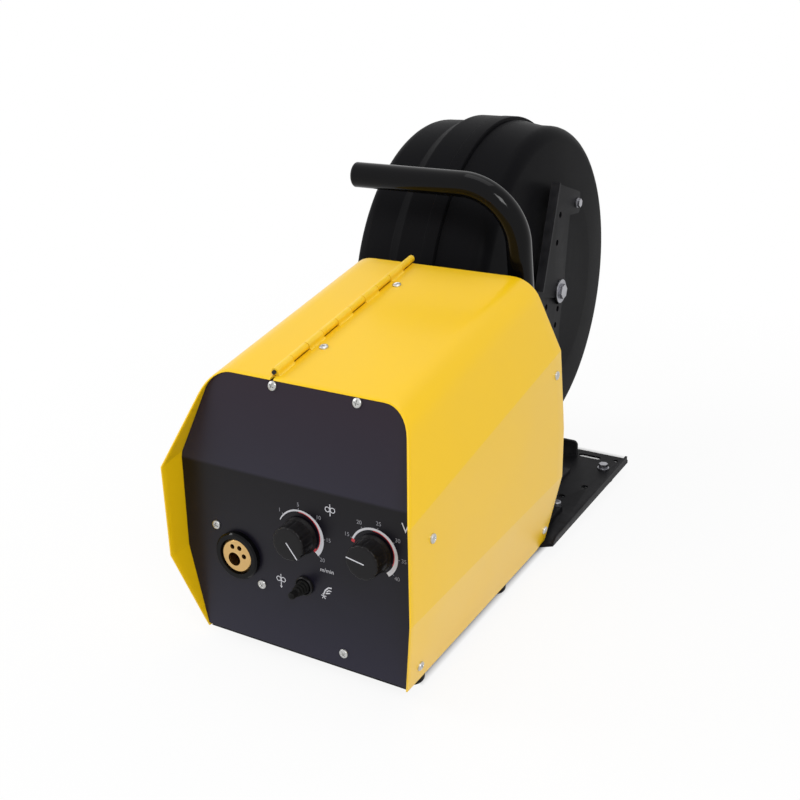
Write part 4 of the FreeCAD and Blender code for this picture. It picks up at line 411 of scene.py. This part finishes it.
# Outside radii of the bends and the least one inside; parts of each arc and straight run.
ROOF_RADIUS, WALL_RADIUS, LEAST_RADIUS = 30, 4, 0.4
ARC_STEPS, STRAIGHT_PARTS = 8, 8

# The mouth's depth at the foot, the heights over which the roof's slope sets in, and the
# depth behind which the foot stands higher.
MOUTH_FOOT = 22.6
ROOF_LOW, ROOF_BLEND = 95, 60
FOOT_STEP, FOOT_STEP_LIFT = 303, 2.85


def section(inset, start):
    """The case's outline at one depth of its sheet, from the hinge side to the foot.

    Every corner moves in along its bisector by the inset, and every straight run is cut
    into equal parts.
    """
    half = HALF - inset
    corner = (HALF - (BROW_FRONT - SIDE_BEND) * math.tan(UPPER_LEAN)
              - inset * math.tan(math.pi / 4 - UPPER_LEAN / 2))
    bend = SIDE_BEND - inset * math.tan(UPPER_LEAN / 2)
    low = LOW_BEND + inset * math.tan(LOW_LEAN / 2)
    foot = FOOT_HALF - inset / math.cos(LOW_LEAN)
    line = fillet([(start, BROW_FRONT - inset), (corner, BROW_FRONT - inset), (half, bend),
                   (half, low), (foot, 0)],
                  [0, ROOF_RADIUS - inset, max(WALL_RADIUS - inset, LEAST_RADIUS),
                   max(WALL_RADIUS - inset, LEAST_RADIUS), 0], steps=ARC_STEPS)
    runs = [1 if i % (ARC_STEPS + 1) else STRAIGHT_PARTS for i in range(len(line) - 1)]
    spots = np.concatenate([i + np.arange(run) / run for i, run in enumerate(runs)]
                           + [[len(line) - 1]])
    return np.stack([np.interp(spots, np.arange(len(line)), line[:, c]) for c in (0, 1)], -1)


def folded_sheet(side, start, foot_lift):
    """The sheet as rings through its thickness, each carried from the mouth to the rear.

    Each ring is an inset into the sheet, an offset along y and a share of the way from the
    mouth to the rear. A point rises by the roof's slope times its depth y, in full above
    ROOF_LOW + ROOF_BLEND and not at all below ROOF_LOW, so the roof slopes while the walls
    stay upright. Behind FOOT_STEP the foot is cut FOOT_STEP_LIFT higher.
    """
    shares = [*np.linspace(0.02, 0.93, 14), 0.9445, 0.9455]
    half_turn = np.linspace(math.pi, 0, 7)
    front = [(GAUGE / 2 * (1 - math.cos(a)), 0.5 * (1 - math.sin(a)), 0) for a in half_turn]
    along = [(0, 0, s) for s in shares]
    bend = [(2 * (1 - math.cos(a)), -2 * (1 - math.sin(a)), 1) for a in np.linspace(0, 1.57, 6)]
    lip = [(LIP - 0.2, 0, 1), (LIP, -0.3, 1), (LIP, -1.2, 1), (LIP - 0.2, -GAUGE, 1)]
    inner = [(GAUGE + 0.7, -GAUGE, 1), (GAUGE, -GAUGE - 0.7, 1)]
    return_run = [(GAUGE, 0, s) for s in shares[::-1]]
    rows = []
    slope = BROW[0] / (BROW[1] - SIDE_BEND)
    for inset, offset, share in front + along + bend + lip + inner + return_run:
        line = section(inset, start)
        x, z = line[:, 0], line[:, 1]
        weight = np.clip((z - ROOF_LOW) / ROOF_BLEND, 0, 1)
        mouth = np.where(z > SIDE_BEND, (z - SIDE_BEND) * slope
                         / (1 - weight * ROOF_RISE * slope),
                         np.clip(MOUTH_FOOT * (1 - z / LOW_BEND), 0, None))
        rear = np.minimum(REAR, (REAR - ROOF_RISE * (z - REAR_BEND))
                          / (1 + weight * ROOF_RISE ** 2))
        y = mouth + (rear - mouth) * share + offset
        up = z + weight * ROOF_RISE * y
        lift = np.where(y > FOOT_STEP, FOOT_STEP_LIFT, foot_lift)
        x = np.where(up < lift, x + (lift - up) * math.tan(LOW_LEAN), x)
        rows.append(np.stack([side * x, y, np.maximum(up, lift)], -1))
    return np.array(rows)


HINGE_GAP = 1.8  # from the hinge's line to each sheet's edge
build("hood", [(folded_sheet(1, HINGE_LINE + HINGE_GAP, 0), True, False)], YELLOW, "stand",
      "yellow_paint", ["fixed_hood"], sharp=50, ends=True)
build("door", [(folded_sheet(-1, -(HINGE_LINE - HINGE_GAP), 1), True, False)], YELLOW, "door",
      "yellow_paint", ["drive_door"], sharp=50, ends=True)


# Hinge: each knuckle's curled sheet runs down to the roof on its own leaf's side. On the other
# side, beside every second knuckle, a thin dark strip lies on the roof: a painted shadow standing
# for the open slot there.
SLOT_PAINTED_SHADOW = finish("hinge_slot_painted_shadow", (0.2, 0.11, 0.002), 0.6, bump=0.05, vary=0.1, specular=0.1)
KNUCKLES, KNUCKLE_PITCH, KNUCKLE_GAP = 10, 24.32, 0.3
BARREL_HEIGHT, CURL_RADIUS, LEAF_EDGE = 3.6, 3.55, 1.9
ROOF_ALONG = np.array([0, math.cos(ROOF), math.sin(ROOF)])
ROOF_OUT = np.array([0, -math.sin(ROOF), math.cos(ROOF)])


def along_hinge(outline, start, end):
    """A drawn outline (across, out of the roof) carried along the hinge's line."""
    foot = np.array([HINGE_LINE, HINGE_FRONT + BARREL_HEIGHT * math.sin(ROOF), 0])
    foot[2] = BROW_FRONT + foot[1] * ROOF_RISE
    outline = np.asarray(outline, float)
    ring_points = (foot + outline[:, :1] * np.array([1.0, 0, 0]) + outline[:, 1:] * ROOF_OUT)
    return np.stack([ring_points + ROOF_ALONG * s for s in (start, end)], 1), True, False


def curl(side):
    """The curled sheet's section: round over the barrel, hollow where it meets the roof."""
    over = [(CURL_RADIUS * math.cos(a), BARREL_HEIGHT + CURL_RADIUS * math.sin(a))
            for a in np.radians(np.linspace(110, 0, 12))]
    line = over + [(3.6, 2.2), (3.9, 1.1), (4.5, 0.35), (5.2, 0.06), (LEAF_EDGE, 0.06)]
    return [(side * x, z) for x, z in line]


def every_second(outline, first, gap):
    """The outline over every second knuckle, each shorter than its pitch by two gaps."""
    return [along_hinge(outline, KNUCKLE_PITCH * i + gap, KNUCKLE_PITCH * (i + 1) - gap)
            for i in range(first, KNUCKLES, 2)]


for name, side, first, body in (("fixed", 1, 0, "stand"), ("door", -1, 1, "door")):
    near, far = side * LEAF_EDGE, side * 2.5
    slot_shadow_line = [(near, 0.02), (far, 0.02), (far, 0.07), (near, 0.07)]
    build("hinge_%s_curls" % name, every_second(curl(side), first, KNUCKLE_GAP), YELLOW, body,
          "yellow_paint", sharp=50, ends=True)
    # Thin dark strips lying just over the roof: painted shadow of the slots beside the knuckles.
    build("hinge_%s_slots" % name, every_second(slot_shadow_line, 1 - first, -KNUCKLE_GAP),
          SLOT_PAINTED_SHADOW, body, "yellow_paint", ends=True)


# Spool cover: two shells turned about the spool's axle, flattened beside the case's rear.
# Their outlines are (x, radius) from the axle, and they meet at the seam.
SPOOL = np.array([0, 490, 225.0])
SEAM, COVER_BORE, CASE_GAP = -21, 178.8, 2
PIN_SPOT, BARREL_RADIUS, BARREL = (SEAM, 684.6), 3.4, 11.5


def cover_shell(profile, radii):
    """A closed line of (x, radius) turned about the axle.

    What would pass the plane beside the case's rear is drawn back along its spoke to that
    plane: its distance there is the axle's distance over the spoke's share towards it.
    """
    line = fillet(profile, radii, steps=8)
    angle = np.linspace(0, 2 * math.pi, 192, endpoint=False)[None, :]
    spokes = np.stack([np.zeros_like(angle), np.cos(angle), np.sin(angle)], -1)
    radius = line[:, 1:] * np.ones_like(angle)
    reach = (SPOOL - np.array([0, REAR + CASE_GAP, REAR_BEND])) @ ROOF_ALONG
    toward = -(spokes @ ROOF_ALONG)
    limit = np.where(toward > 0.5, reach / np.maximum(toward, 0.5), 1e3)
    radius = np.where(radius > limit, limit - 0.001 * (line[:, 1:] < 180), radius)
    grid = SPOOL + spokes * radius[..., None]
    grid[..., 0] += line[:, :1]
    return grid


right_profile = [(SEAM, COVER_BORE), (SEAM, 186.2), (5, 181.8), (33, 181.8), (35, 121.8),
                 (35, 6), (32, 6), (32, 121.8), (30, COVER_BORE)]
left_profile = [(-21.4, COVER_BORE), (-21.4, 190), (-36, 190), (-36.3, 189.5), (-64, 189.5),
                (-76, 183), (-120, 181.8), (-122, 121.8), (-122, 0), (-119, 0),
                (-119, 121.8), (-117, COVER_BORE)]


def knuckle(low, high, easing=0.4):
    """An upright round barrel with eased ends, for the cover's rear hinge."""
    radius = BARREL_RADIUS
    line = [(0, low), (radius - easing, low), (radius, low + easing), (radius, high - easing),
            (radius - easing, high), (0, high)]
    return lathe(line, (*PIN_SPOT, 0), np.eye(3), 32), False, True


def slab(corners, plane, low, high, easing=0.3):
    """A straight-sided block over a drawn outline, its long edges eased at both ends."""
    corners = np.asarray(corners, float)
    middle = corners.mean(0)
    shrink = middle + (corners - middle) * (1 - easing / np.abs(corners - middle).max())
    rings = [(middle * np.ones_like(corners), low), (shrink, low), (corners, low + easing),
             (corners, high - easing), (shrink, high), (middle * np.ones_like(corners), high)]
    order = {"XY": (0, 1, 2), "XZ": (0, 2, 1)}[plane]
    grid = np.zeros((6, len(corners), 3))
    for row, (ring_points, level) in enumerate(rings):
        grid[row, :, order[0]], grid[row, :, order[1]] = ring_points.T
        grid[row, :, order[2]] = level
    return grid, False, True


right_parts = [(cover_shell(right_profile, [0, 1.2, 0, 16, 60, 0, 0, 0, 13]), True, True)]
for low in (207, 231.5):
    right_parts.append(slab([(SEAM, 672.6), (-14, 672.6), (-17.6, 684.6), PIN_SPOT], "XY",
                            low, low + BARREL))
    right_parts.append(knuckle(low, low + BARREL))
build("cover_right", right_parts, COVER, "stand", "black_plastic", ["cover_right_shell"],
      sharp=50)
left_parts = [(cover_shell(left_profile, [0, 1.6, 1.2, 0.8, 5, 5, 16, 60, 0, 0, 0, 13]),
               True, True),
              slab([(-21.4, 672.6), PIN_SPOT, (-24.4, 684.6), (-28, 672.6)], "XY",
                   219.5, 219.5 + BARREL), knuckle(219.5, 219.5 + BARREL)]
for along in (483, 494):
    left_parts.append(slab([(-33, 29.5), (-27, 29.5), (-27, 36.5), (-33, 36.5)], "XZ",
                           along, along + 3))
left_parts.append((lathe([(0, -5), (1.5, -5), (1.5, 5), (0, 5)], (-30, 490, 31.5),
                         axes((0, 1, 0)), 24), False, True))
build("cover_left", left_parts, COVER, "cover_half", "black_plastic", ["cover_left_shell"],
      sharp=50)


# Handle: one bent tube carried along its line, with a rounded plug at its end. The line is
# drawn as (across, rise) from HANDLE, in a plane that leans back: grip, bend and post.
LEAN = math.radians(10)
HANDLE = np.array([0, 305, 378.0])
TUBE_RADIUS, GRIP_END, BEND_START, BEND_RADIUS = 12.7, -102, 16.6, 57
POST_FOOT = 9.6


def handle_grid(path, tangent, radius):
    """Circles square to a line in the handle's leaning plane.

    Each point is the line's point plus the radius times the angle's cosine off the plane
    and its sine to the line's side.
    """
    across = np.array([1.0, 0, 0])
    rise = np.array([0, -math.sin(LEAN), math.cos(LEAN)])
    off = np.array([0, math.cos(LEAN), math.sin(LEAN)])
    angle = np.linspace(0, 2 * math.pi, 48, endpoint=False)
    side = -tangent[:, 1:] * across + tangent[:, :1] * rise
    centre = HANDLE + path[:, :1] * across + path[:, 1:] * rise
    ring_points = (np.cos(angle)[None, :, None] * off
                   + np.sin(angle)[None, :, None] * side[:, None])
    return centre[:, None] + np.asarray(radius)[:, None, None] * ring_points


post_end = (HANDLE[2] - POST_FOOT) / math.cos(LEAN)
arc = np.linspace(math.pi / 2, 0, 25)
grip = np.stack([np.linspace(GRIP_END, BEND_START, 12), np.zeros(12)], -1)
bend_line = np.stack([BEND_START + BEND_RADIUS * np.cos(arc),
                      BEND_RADIUS * np.sin(arc) - BEND_RADIUS], -1)[1:]
post = np.stack([np.full(16, BEND_START + BEND_RADIUS),
                 np.linspace(-BEND_RADIUS, -post_end, 17)[1:]], -1)
path = np.vstack([grip, bend_line, post])
heading = np.vstack([np.tile([1.0, 0], (12, 1)),
                     np.stack([np.sin(arc), -np.cos(arc)], -1)[1:], np.tile([0, -1.0], (16, 1))])
path = np.vstack([path[:1], path, path[-1:]])
heading = np.vstack([heading[:1], heading, heading[-1:]])
tube_radii = [0] + [TUBE_RADIUS] * (len(path) - 2) + [0]
build("handle", [(handle_grid(path, heading, tube_radii), False, True)], GLOSS, "stand",
      "black_gloss", ["handle_tube"])
plug_line = fillet([(0, 0), (0, TUBE_RADIUS), (-2, TUBE_RADIUS), (-2.6, 9), (-3.2, 0)],
                   [0, 0, 1.2, 4, 0])
plug_path = np.stack([GRIP_END + plug_line[:, 0], np.zeros(len(plug_line))], -1)
build("handle_plug", [(handle_grid(plug_path, np.tile([1.0, 0], (len(plug_path), 1)),
                                   plug_line[:, 1]), False, True)],
      DARK, "stand", "black_plastic", ["handle_cap"])


# Knobs and the trigger lever, drawn out of the panel.
SPEED, VOLTAGE, TRIGGER = (3.5, 124.6), (77.3, 126.4), (6, 76)
KNOB_TOP = 20


def panel_y(z):
    """The depth of the panel's face at a height."""
    return PANEL_FOOT[0] + (z - PANEL_FOOT[1]) * math.tan(PANEL_LEAN)


def panel_spot(x, z):
    """A place on the panel's face with its directions."""
    return (x, panel_y(z), z), axes((0, -math.cos(PANEL_LEAN), math.sin(PANEL_LEAN)))


def knob_line():
    """A dial knob's outline: flared foot, tapering side, eased rim and flat top."""
    line = fillet([(0, 0.8), (17.5, 0.8), (17.5, 1.8), (16.1, 5), (15.6, KNOB_TOP),
                   (0, KNOB_TOP)], [0, 0.2, 0.8, 3, 1.5, 0], steps=5)
    return np.vstack([line[:-1], [[12, KNOB_TOP], [6, KNOB_TOP]], line[-1:]])


def flutes(angle, height):
    """Twelve shallow hollows round the side, fading out at the foot.

    A hollow is what the cosine of twelve times the angle has above 0.55.
    """
    fade = np.clip((height - 4.5) / 3, 0, 1)
    hollow = np.clip(np.cos(12 * angle) - 0.55, 0, 1) / 0.45
    return -0.75 * hollow * fade


for name, spot in (("speed", SPEED), ("voltage", VOLTAGE)):
    build(name + "_dial_knob", [(lathe(knob_line(), *panel_spot(*spot), 120, flutes), False,
                                 True)],
          DARK, name + "_dial", "black_plastic", [name + "_knob"], sharp=45)

# The boot's foot stays clear of the ring nut while the trigger rocks.
boot_line = fillet([(0, 1.7), (6.2, 1.7), (6.4, 4), (5.2, 5.6), (5.9, 7.2), (4.8, 8.8),
                    (5.4, 10.4), (4.3, 12), (4.7, 13.6), (3.5, 15.4), (3.3, 22), (0, 24)],
                   [0, 0, 1, 0.8, 0.8, 0.8, 0.8, 0.8, 0.8, 0.8, 2, 0], steps=4)
build("trigger_boot", [(lathe(boot_line, *panel_spot(*TRIGGER), 48), False, True)], RUBBER,
      "trigger_switch", "rubber", ["toggle_lever"])


# Pan-head screws with a cross recess, and the spots that they hold.
SLOT_HALF, SLOT_REACH, SLOT_DEPTH = 0.62, 0.62, 1.25
SCREW_RADIUS, SCREW_RISE = 4.3, 2.4


def screw_head(origin, turned, roll):
    """A low dome with a cross recess.

    The dome falls with the radius to the power 3.2. The recess is cut where a point is
    within SLOT_HALF mm of one slot's line and within a share SLOT_REACH of the radius,
    both with a sloping side.
    """
    radius = SCREW_RADIUS
    r = np.concatenate([np.linspace(0, 0.72, 19), [0.8, 0.88, 0.95, 1, 1, 0]])[:, None] * radius
    crown = SCREW_RISE * (1 - 0.42 * (r / radius) ** 3.2)
    crown[-2:], crown[-3] = 0, SCREW_RISE * 0.45
    angle = np.linspace(0, 2 * math.pi, 72, endpoint=False)[None, :]
    x, y = np.abs(r * np.cos(angle + roll)), np.abs(r * np.sin(angle + roll))
    near, far = np.minimum(x, y), np.maximum(x, y)
    slot = (np.clip((SLOT_HALF - near) / 0.22, 0, 1)
            * np.clip((radius * SLOT_REACH - far) / 0.5, 0, 1))
    height = crown - slot * SLOT_DEPTH * (r < radius * 0.7)
    local = np.stack([r * np.cos(angle), r * np.sin(angle), height], -1)
    return set_at(local, origin, turned), False, True


def on_head(x, z):
    """A place on the panel's upper, leaning part."""
    place = (x, PANEL_BEND[0] + (z - PANEL_BEND[1]) * math.tan(HEAD_LEAN), z)
    return place, axes((0, -math.cos(HEAD_LEAN), math.sin(HEAD_LEAN)))


def on_roof(x, y):
    """A place on the sloping roof."""
    return (x, y, BROW_FRONT + y * ROOF_RISE), axes(ROOF_OUT, (0, 1, 0))


def on_wall(y, z):
    """A place on the hood's right wall or, below its bend, on the low facet."""
    if z > LOW_BEND:
        return (HALF, y, z), axes((1, 0, 0))
    return ((FOOT_HALF + z * math.tan(LOW_LEAN), y, z),
            axes((math.cos(LOW_LEAN), 0, -math.sin(LOW_LEAN))))


# Each screw's place, directions and the turn of its cross.
heads = {"panel_screws": [(*on_head(-32.5, 248.5), 0.5), (*on_head(52.5, 248.5), 0.2),
                          (*panel_spot(44.5, 18.8), 0.9)],
         "socket_screws": [(*panel_spot(-89, 112), 0.3), (*panel_spot(-41, 64), 1.0)],
         "hood_screws": [(*on_wall(38, 147), 0.6), (*on_wall(293, 202), 0.1),
                         (*on_wall(39, 18.2), 1.1), (*on_wall(306, 22), 0.4)],
         "hinge_screws": [(*on_roof(-21, 110), 0.35), (*on_roof(-21, 240), 0.8)]}
for name, spots in heads.items():
    build(name + "_heads", [screw_head(*spot) for spot in spots], ZINC, "stand", "zinc", [name],
          sharp=60)

# The other visible nodes keep their own shape, with eased edges.
for name in ("base_tray", "relief_lug", "lower_upright", "upper_arm", "handle_foot",
             "handle_clamp", "front_panel", "rear_panel", "hinge_fixed_leaf",
             "hinge_door_leaf", "socket_collar", "toggle_switch", "arm_bolts", "tray_bolts",
             "spool_axle", "rubber_feet", "door_latch", "cover_clip", "drive_plate", "bulkhead",
             "gas_inlet", "control_socket", "power_stud", "wire_inlet", "tension_knob",
             "gearbox", "drive_motor", "pressure_arm_front", "pressure_arm_rear",
             "tension_lever"):
    eased(name, 0.5 if name in ("socket_collar", "rubber_feet", "handle_foot") else 0.3,
          OWN.get(name))


# Printed marks on the front panel, drawn in its own plane: x across, z up, in mm.
def printed(name, colour):
    """A flat, slightly uneven ink."""
    return finish(name, colour, 0.45, fine=1500, bump=0.02, vary=0.04, rough_vary=0.05)


MARK_LIFT = 0.08  # in front of the surface that a mark is printed on
WHITE_INK = printed("ink_white", (0.62, 0.62, 0.66))
RED_INK = printed("ink_red", (0.55, 0.02, 0.03))
GREY_INK = printed("ink_grey", (0.25, 0.25, 0.28))


def piece(name, points, faces, material, body):
    """A mesh from points in mm in the case's frame."""
    mesh = bpy.data.meshes.new(name)
    mesh.from_pydata([tuple(p) for p in model(points)], [], [tuple(f) for f in faces])
    mesh.materials.append(material)
    mesh.validate()
    made = bpy.data.objects.new(name, mesh)
    scene.collection.objects.link(made)
    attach(made, body)


def on_panel(name, polygons, material, lift=MARK_LIFT, body="stand"):
    """Flat printed shapes just in front of the panel."""
    points, faces = [], []
    for polygon in polygons:
        first = len(points)
        points += [(x, panel_y(z) - lift, z) for x, z in polygon]
        faces.append(range(first, len(points)))
    piece(name, points, faces, material, body)


def polar(centre, angle, radius):
    """A place by its angle in degrees and its distance from a centre."""
    a = math.radians(angle)
    return centre[0] + radius * math.cos(a), centre[1] + radius * math.sin(a)


def band(centre, start, end, inner, outer, count=48):
    """Strips of a curved band; angles in degrees, radii may be functions of them."""
    rims = [[polar(centre, angle, r(angle) if callable(r) else r) for r in (inner, outer)]
            for angle in np.linspace(start, end, count + 1)]
    strips = []
    for one, two in zip(rims, rims[1:]):
        quad = [one[0], one[1], two[1], two[0]]
        strips.append(quad if start < end else quad[::-1])
    return strips


def stroke(points, width):
    """A line of even width through the points, each length a little longer than its run."""
    strips = []
    for (x0, z0), (x1, z1) in zip(points, points[1:]):
        length = math.hypot(x1 - x0, z1 - z0)
        ox, oz = -(z1 - z0) / length * width / 2, (x1 - x0) / length * width / 2
        ex, ez = (x1 - x0) / length * width * 0.3, (z1 - z0) / length * width * 0.3
        strips.append([(x0 - ox - ex, z0 - oz - ez), (x1 - ox + ex, z1 - oz + ez),
                       (x1 + ox + ex, z1 + oz + ez), (x0 + ox - ex, z0 + oz - ez)])
    return strips


def ring(x, z, radius, width):
    """A closed circle of even width."""
    return band((x, z), 0, 360, radius - width / 2, radius + width / 2, 28)


def words(name, text, x, z, height, material):
    """Plain lettering in the built-in face, centred on a spot of the panel."""
    curve = bpy.data.curves.new(name + "_line", "FONT")
    curve.body = text
    curve.align_x, curve.align_y = "CENTER", "CENTER"
    curve.size = height
    holder = bpy.data.objects.new(name + "_line", curve)
    mesh = bpy.data.meshes.new_from_object(holder)
    spots = [(v.co.x + x, v.co.y + z) for v in mesh.vertices]
    points = [(a, panel_y(b) - MARK_LIFT - 0.01, b) for a, b in spots]
    faces = [tuple(p.vertices) for p in mesh.polygons]
    bpy.data.objects.remove(holder)
    piece(name, points, faces, material, "stand")


def speed_inner(angle):
    """The inner edge of the speed dial's white band, which widens towards its low end."""
    return float(np.interp(angle, [-42, 0, 45, 90, 130, 155],
                           [19.3, 20.3, 21.4, 22.1, 22.3, 22.9]))


def speed_red(angle):
    """The inner edge of the red line inside the speed dial's band."""
    return speed_inner(angle) - 0.75


def volt_inner(angle):
    """The inner edge of the voltage dial's white band."""
    return float(np.interp(angle, [-52, -20, 20, 60, 100, 140, 157],
                           [19.2, 19.6, 20.2, 20.7, 21.0, 21.2, 21.3]))


def volt_red(angle):
    """The inner edge of the red line inside the voltage dial's band."""
    return volt_inner(angle) - 0.7


on_panel("speed_band", band(SPEED, -42, 155, speed_inner, 23.8), WHITE_INK)
on_panel("speed_red", band(SPEED, -36, 93, speed_red, speed_inner)
         + band(SPEED, -43, -31, 16.6, 19.4, 6), RED_INK)
on_panel("voltage_band", band(VOLTAGE, -52, 157, volt_inner, 23.1), WHITE_INK)
on_panel("voltage_red", band(VOLTAGE, -22, 92, volt_red, volt_inner)
         + band(VOLTAGE, 157, 165, 19.8, 23.0, 4), RED_INK)
ticks = []
for centre, outer, angles in ((SPEED, 23.6, (138, 93, 48, 4, -41)),
                              (VOLTAGE, 22.9, (157, 119, 80, 37, -1, -40))):
    for angle in angles:
        ticks += stroke([polar(centre, angle, outer), polar(centre, angle, outer + 1.6)], 0.55)
on_panel("ticks", ticks, GREY_INK)
for centre, radius, marks in (
        (SPEED, 28.6, ((138, "1"), (93, "5"), (48, "10"), (4, "15"), (-41, "20"))),
        (VOLTAGE, 28.7, ((157, "15"), (119, "20"), (80, "25"), (37, "30"), (-1, "35"),
                         (-40, "40")))):
    for angle, text in marks:
        x, z = polar(centre, angle, radius)
        words("number_%s_%d" % (text, centre[0]), text, x, z, 5.2, GREY_INK)
words("unit_speed", "m/min", 29.5, 96.5, 5.6, WHITE_INK)
words("unit_voltage", "V", 107.6, 156.5, 12.5, WHITE_INK)


def roll_sign(x, z, size, tail):
    """Two rolls with a wire between them, the sign for wire feed; a long tail is an arrow."""
    low = z - size * 0.9 * tail
    lines = []
    for side in (-1, 1):
        lines += ring(x + side * size * 0.42, z, size * 0.36, 0.75)
    lines += stroke([(x, low), (x, z + size * 0.8)], 0.8)
    if tail > 1:
        lines += [[(x - 1.3, low), (x, low - 2.2), (x + 1.3, low)]]
    return lines


# The sign of a bent gun with sparks at its tip.
gun = stroke([(33.4, 80.6), (30.4, 80.2), (26.9, 76.8), (25.6, 73.6), (24.6, 72.4)], 1.3)
gun += stroke([(33.0, 77.4), (30.6, 77.6), (28.4, 75.6)], 1.0)
gun += stroke([(27.6, 73.8), (31.6, 75.2)], 1.0)
for i in range(5):
    turn = 1.26 * i + 0.3
    spark = (25.2 + 0.95 * math.cos(turn) * 2.6, 70.4 + 2.4 * math.sin(turn))
    gun += stroke([(25.4, 70.9), spark], 0.8)
on_panel("signs", roll_sign(34.7, 156, 6.2, 1.0) + roll_sign(-20, 75, 6.0, 1.25) + gun,
         WHITE_INK)
for name, centre, angle in (("speed", SPEED, -52), ("voltage", VOLTAGE, 170)):
    line = stroke([polar(centre, angle, -2), polar(centre, angle, 14.8)], 1.1)
    on_panel(name + "_pointer", line, WHITE_INK, lift=KNOB_TOP + 0.06, body=name + "_dial")


# Studio: pale floor and broad soft lights.
def joined(tree, operation, one, two):
    """A Math node over two sockets."""
    made = node(tree, "ShaderNodeMath", operation=operation)
    tree.links.new(one, made.inputs[0])
    tree.links.new(two, made.inputs[1])
    return made.outputs["Value"]


def ramped(tree, value, low, high, start, end):
    """A value's run from low to high carried over to start and end."""
    made = node(tree, "ShaderNodeMapRange", Value=value)
    for label, number in (("From Min", low), ("From Max", high), ("To Min", start),
                          ("To Max", end)):
        made.inputs[label].default_value = number
    return made.outputs["Result"]


def looked_at(tree):
    """1 for rays from the camera, from a gloss or through glass, 0 for all others."""
    rays = tree.nodes.new("ShaderNodeLightPath")
    one = joined(tree, "MAXIMUM", rays.outputs["Is Camera Ray"], rays.outputs["Is Glossy Ray"])
    return joined(tree, "MAXIMUM", one, rays.outputs["Is Transmission Ray"])


def less(tree, value, number):
    """A value less a fixed number."""
    made = node(tree, "ShaderNodeMath", operation="SUBTRACT")
    tree.links.new(value, made.inputs[0])
    made.inputs[1].default_value = number
    return made.outputs["Value"]


def beyond(tree, value, middle, half):
    """How far a value lies outside a span, negative within it."""
    size = node(tree, "ShaderNodeMath", operation="ABSOLUTE")
    tree.links.new(less(tree, value, middle), size.inputs[0])
    return less(tree, size.outputs["Value"], half)


FLOOR_REACH = 6
floor_mesh = bpy.data.meshes.new("floor")
floor_mesh.from_pydata([(x * FLOOR_REACH, y * FLOOR_REACH, 0)
                        for x, y in ((-1, -1), (1, -1), (1, 1), (-1, 1))], [], [(0, 1, 2, 3)])
floor = bpy.data.objects.new("floor", floor_mesh)
scene.collection.objects.link(floor)
pale = bpy.data.materials.new("floor_white")
pale.use_nodes = True
tree = pale.node_tree
shader = tree.nodes["Principled BSDF"]
shader.inputs["Base Color"].default_value = (0.93, 0.93, 0.93, 1)
shader.inputs["Roughness"].default_value = 0.7
shader.inputs["Specular IOR Level"].default_value = 0.1
glow = tree.nodes.new("ShaderNodeEmission")
place = tree.nodes.new("ShaderNodeTexCoord").outputs["Object"]
apart = node(tree, "ShaderNodeSeparateXYZ", Vector=place)

# Under the tray the floor is plain and shaded; further out it turns to even white. The
# shaded patch has its own half width, and the tray's length, a little longer and further
# back; all in metres.
PATCH_HALF, PATCH_BACK, PATCH_LONGER = 0.103, 0.035, 0.005
tray_low, tray_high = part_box("base_tray")
tray_middle = (tray_low[1] + tray_high[1]) / 2 + PATCH_BACK
tray_half = (tray_high[1] - tray_low[1]) / 2 + PATCH_LONGER
outside = joined(tree, "MAXIMUM", beyond(tree, apart.outputs["X"], 0, PATCH_HALF),
                 beyond(tree, apart.outputs["Y"], tray_middle, tray_half))
share = joined(tree, "ADD", ramped(tree, outside, -0.006, 0.002, 0, 0.9),
               ramped(tree, outside, 0.03, 0.7, 0, 0.1))
share = joined(tree, "MULTIPLY", share, looked_at(tree))
blend = tree.nodes.new("ShaderNodeMixShader")
tree.links.new(share, blend.inputs[0])
tree.links.new(shader.outputs["BSDF"], blend.inputs[1])
tree.links.new(glow.outputs["Emission"], blend.inputs[2])
tree.links.new(blend.outputs["Shader"], tree.nodes["Material Output"].inputs["Surface"])
floor_mesh.materials.append(pale)

# The world lights the part at half strength, but is plain white where it is looked at.
world = bpy.data.worlds.new("studio")
scene.world = world
world.use_nodes = True
tree = world.node_tree
background = tree.nodes["Background"]
background.inputs["Color"].default_value = (1, 1, 1, 1)
tree.links.new(ramped(tree, looked_at(tree), 0, 1, 0.5, 1.0), background.inputs["Strength"])


def area(name, place, target, width, height, power):
    """A soft rectangular light that looks at a point."""
    lamp = bpy.data.lights.new(name, "AREA")
    lamp.shape = "RECTANGLE"
    lamp.size, lamp.size_y = width, height
    lamp.energy = power
    made = bpy.data.objects.new(name, lamp)
    scene.collection.objects.link(made)
    look = Vector(target) - Vector(place)
    made.matrix_world = (Matrix.Translation(Vector(place))
                         @ look.to_track_quat("-Z", "Y").to_matrix().to_4x4())


for name, place, width, height, power in (("key", (1.4, -1.5, 1.8), 0.7, 0.7, 21.5),
                                          ("left", (-1.9, -0.9, 1.2), 1.2, 0.6, 17),
                                          ("top", (0, 0.2, 2.2), 1.2, 1.2, 7)):
    area(name, place, (0, 0, 0.2), width, height, power)
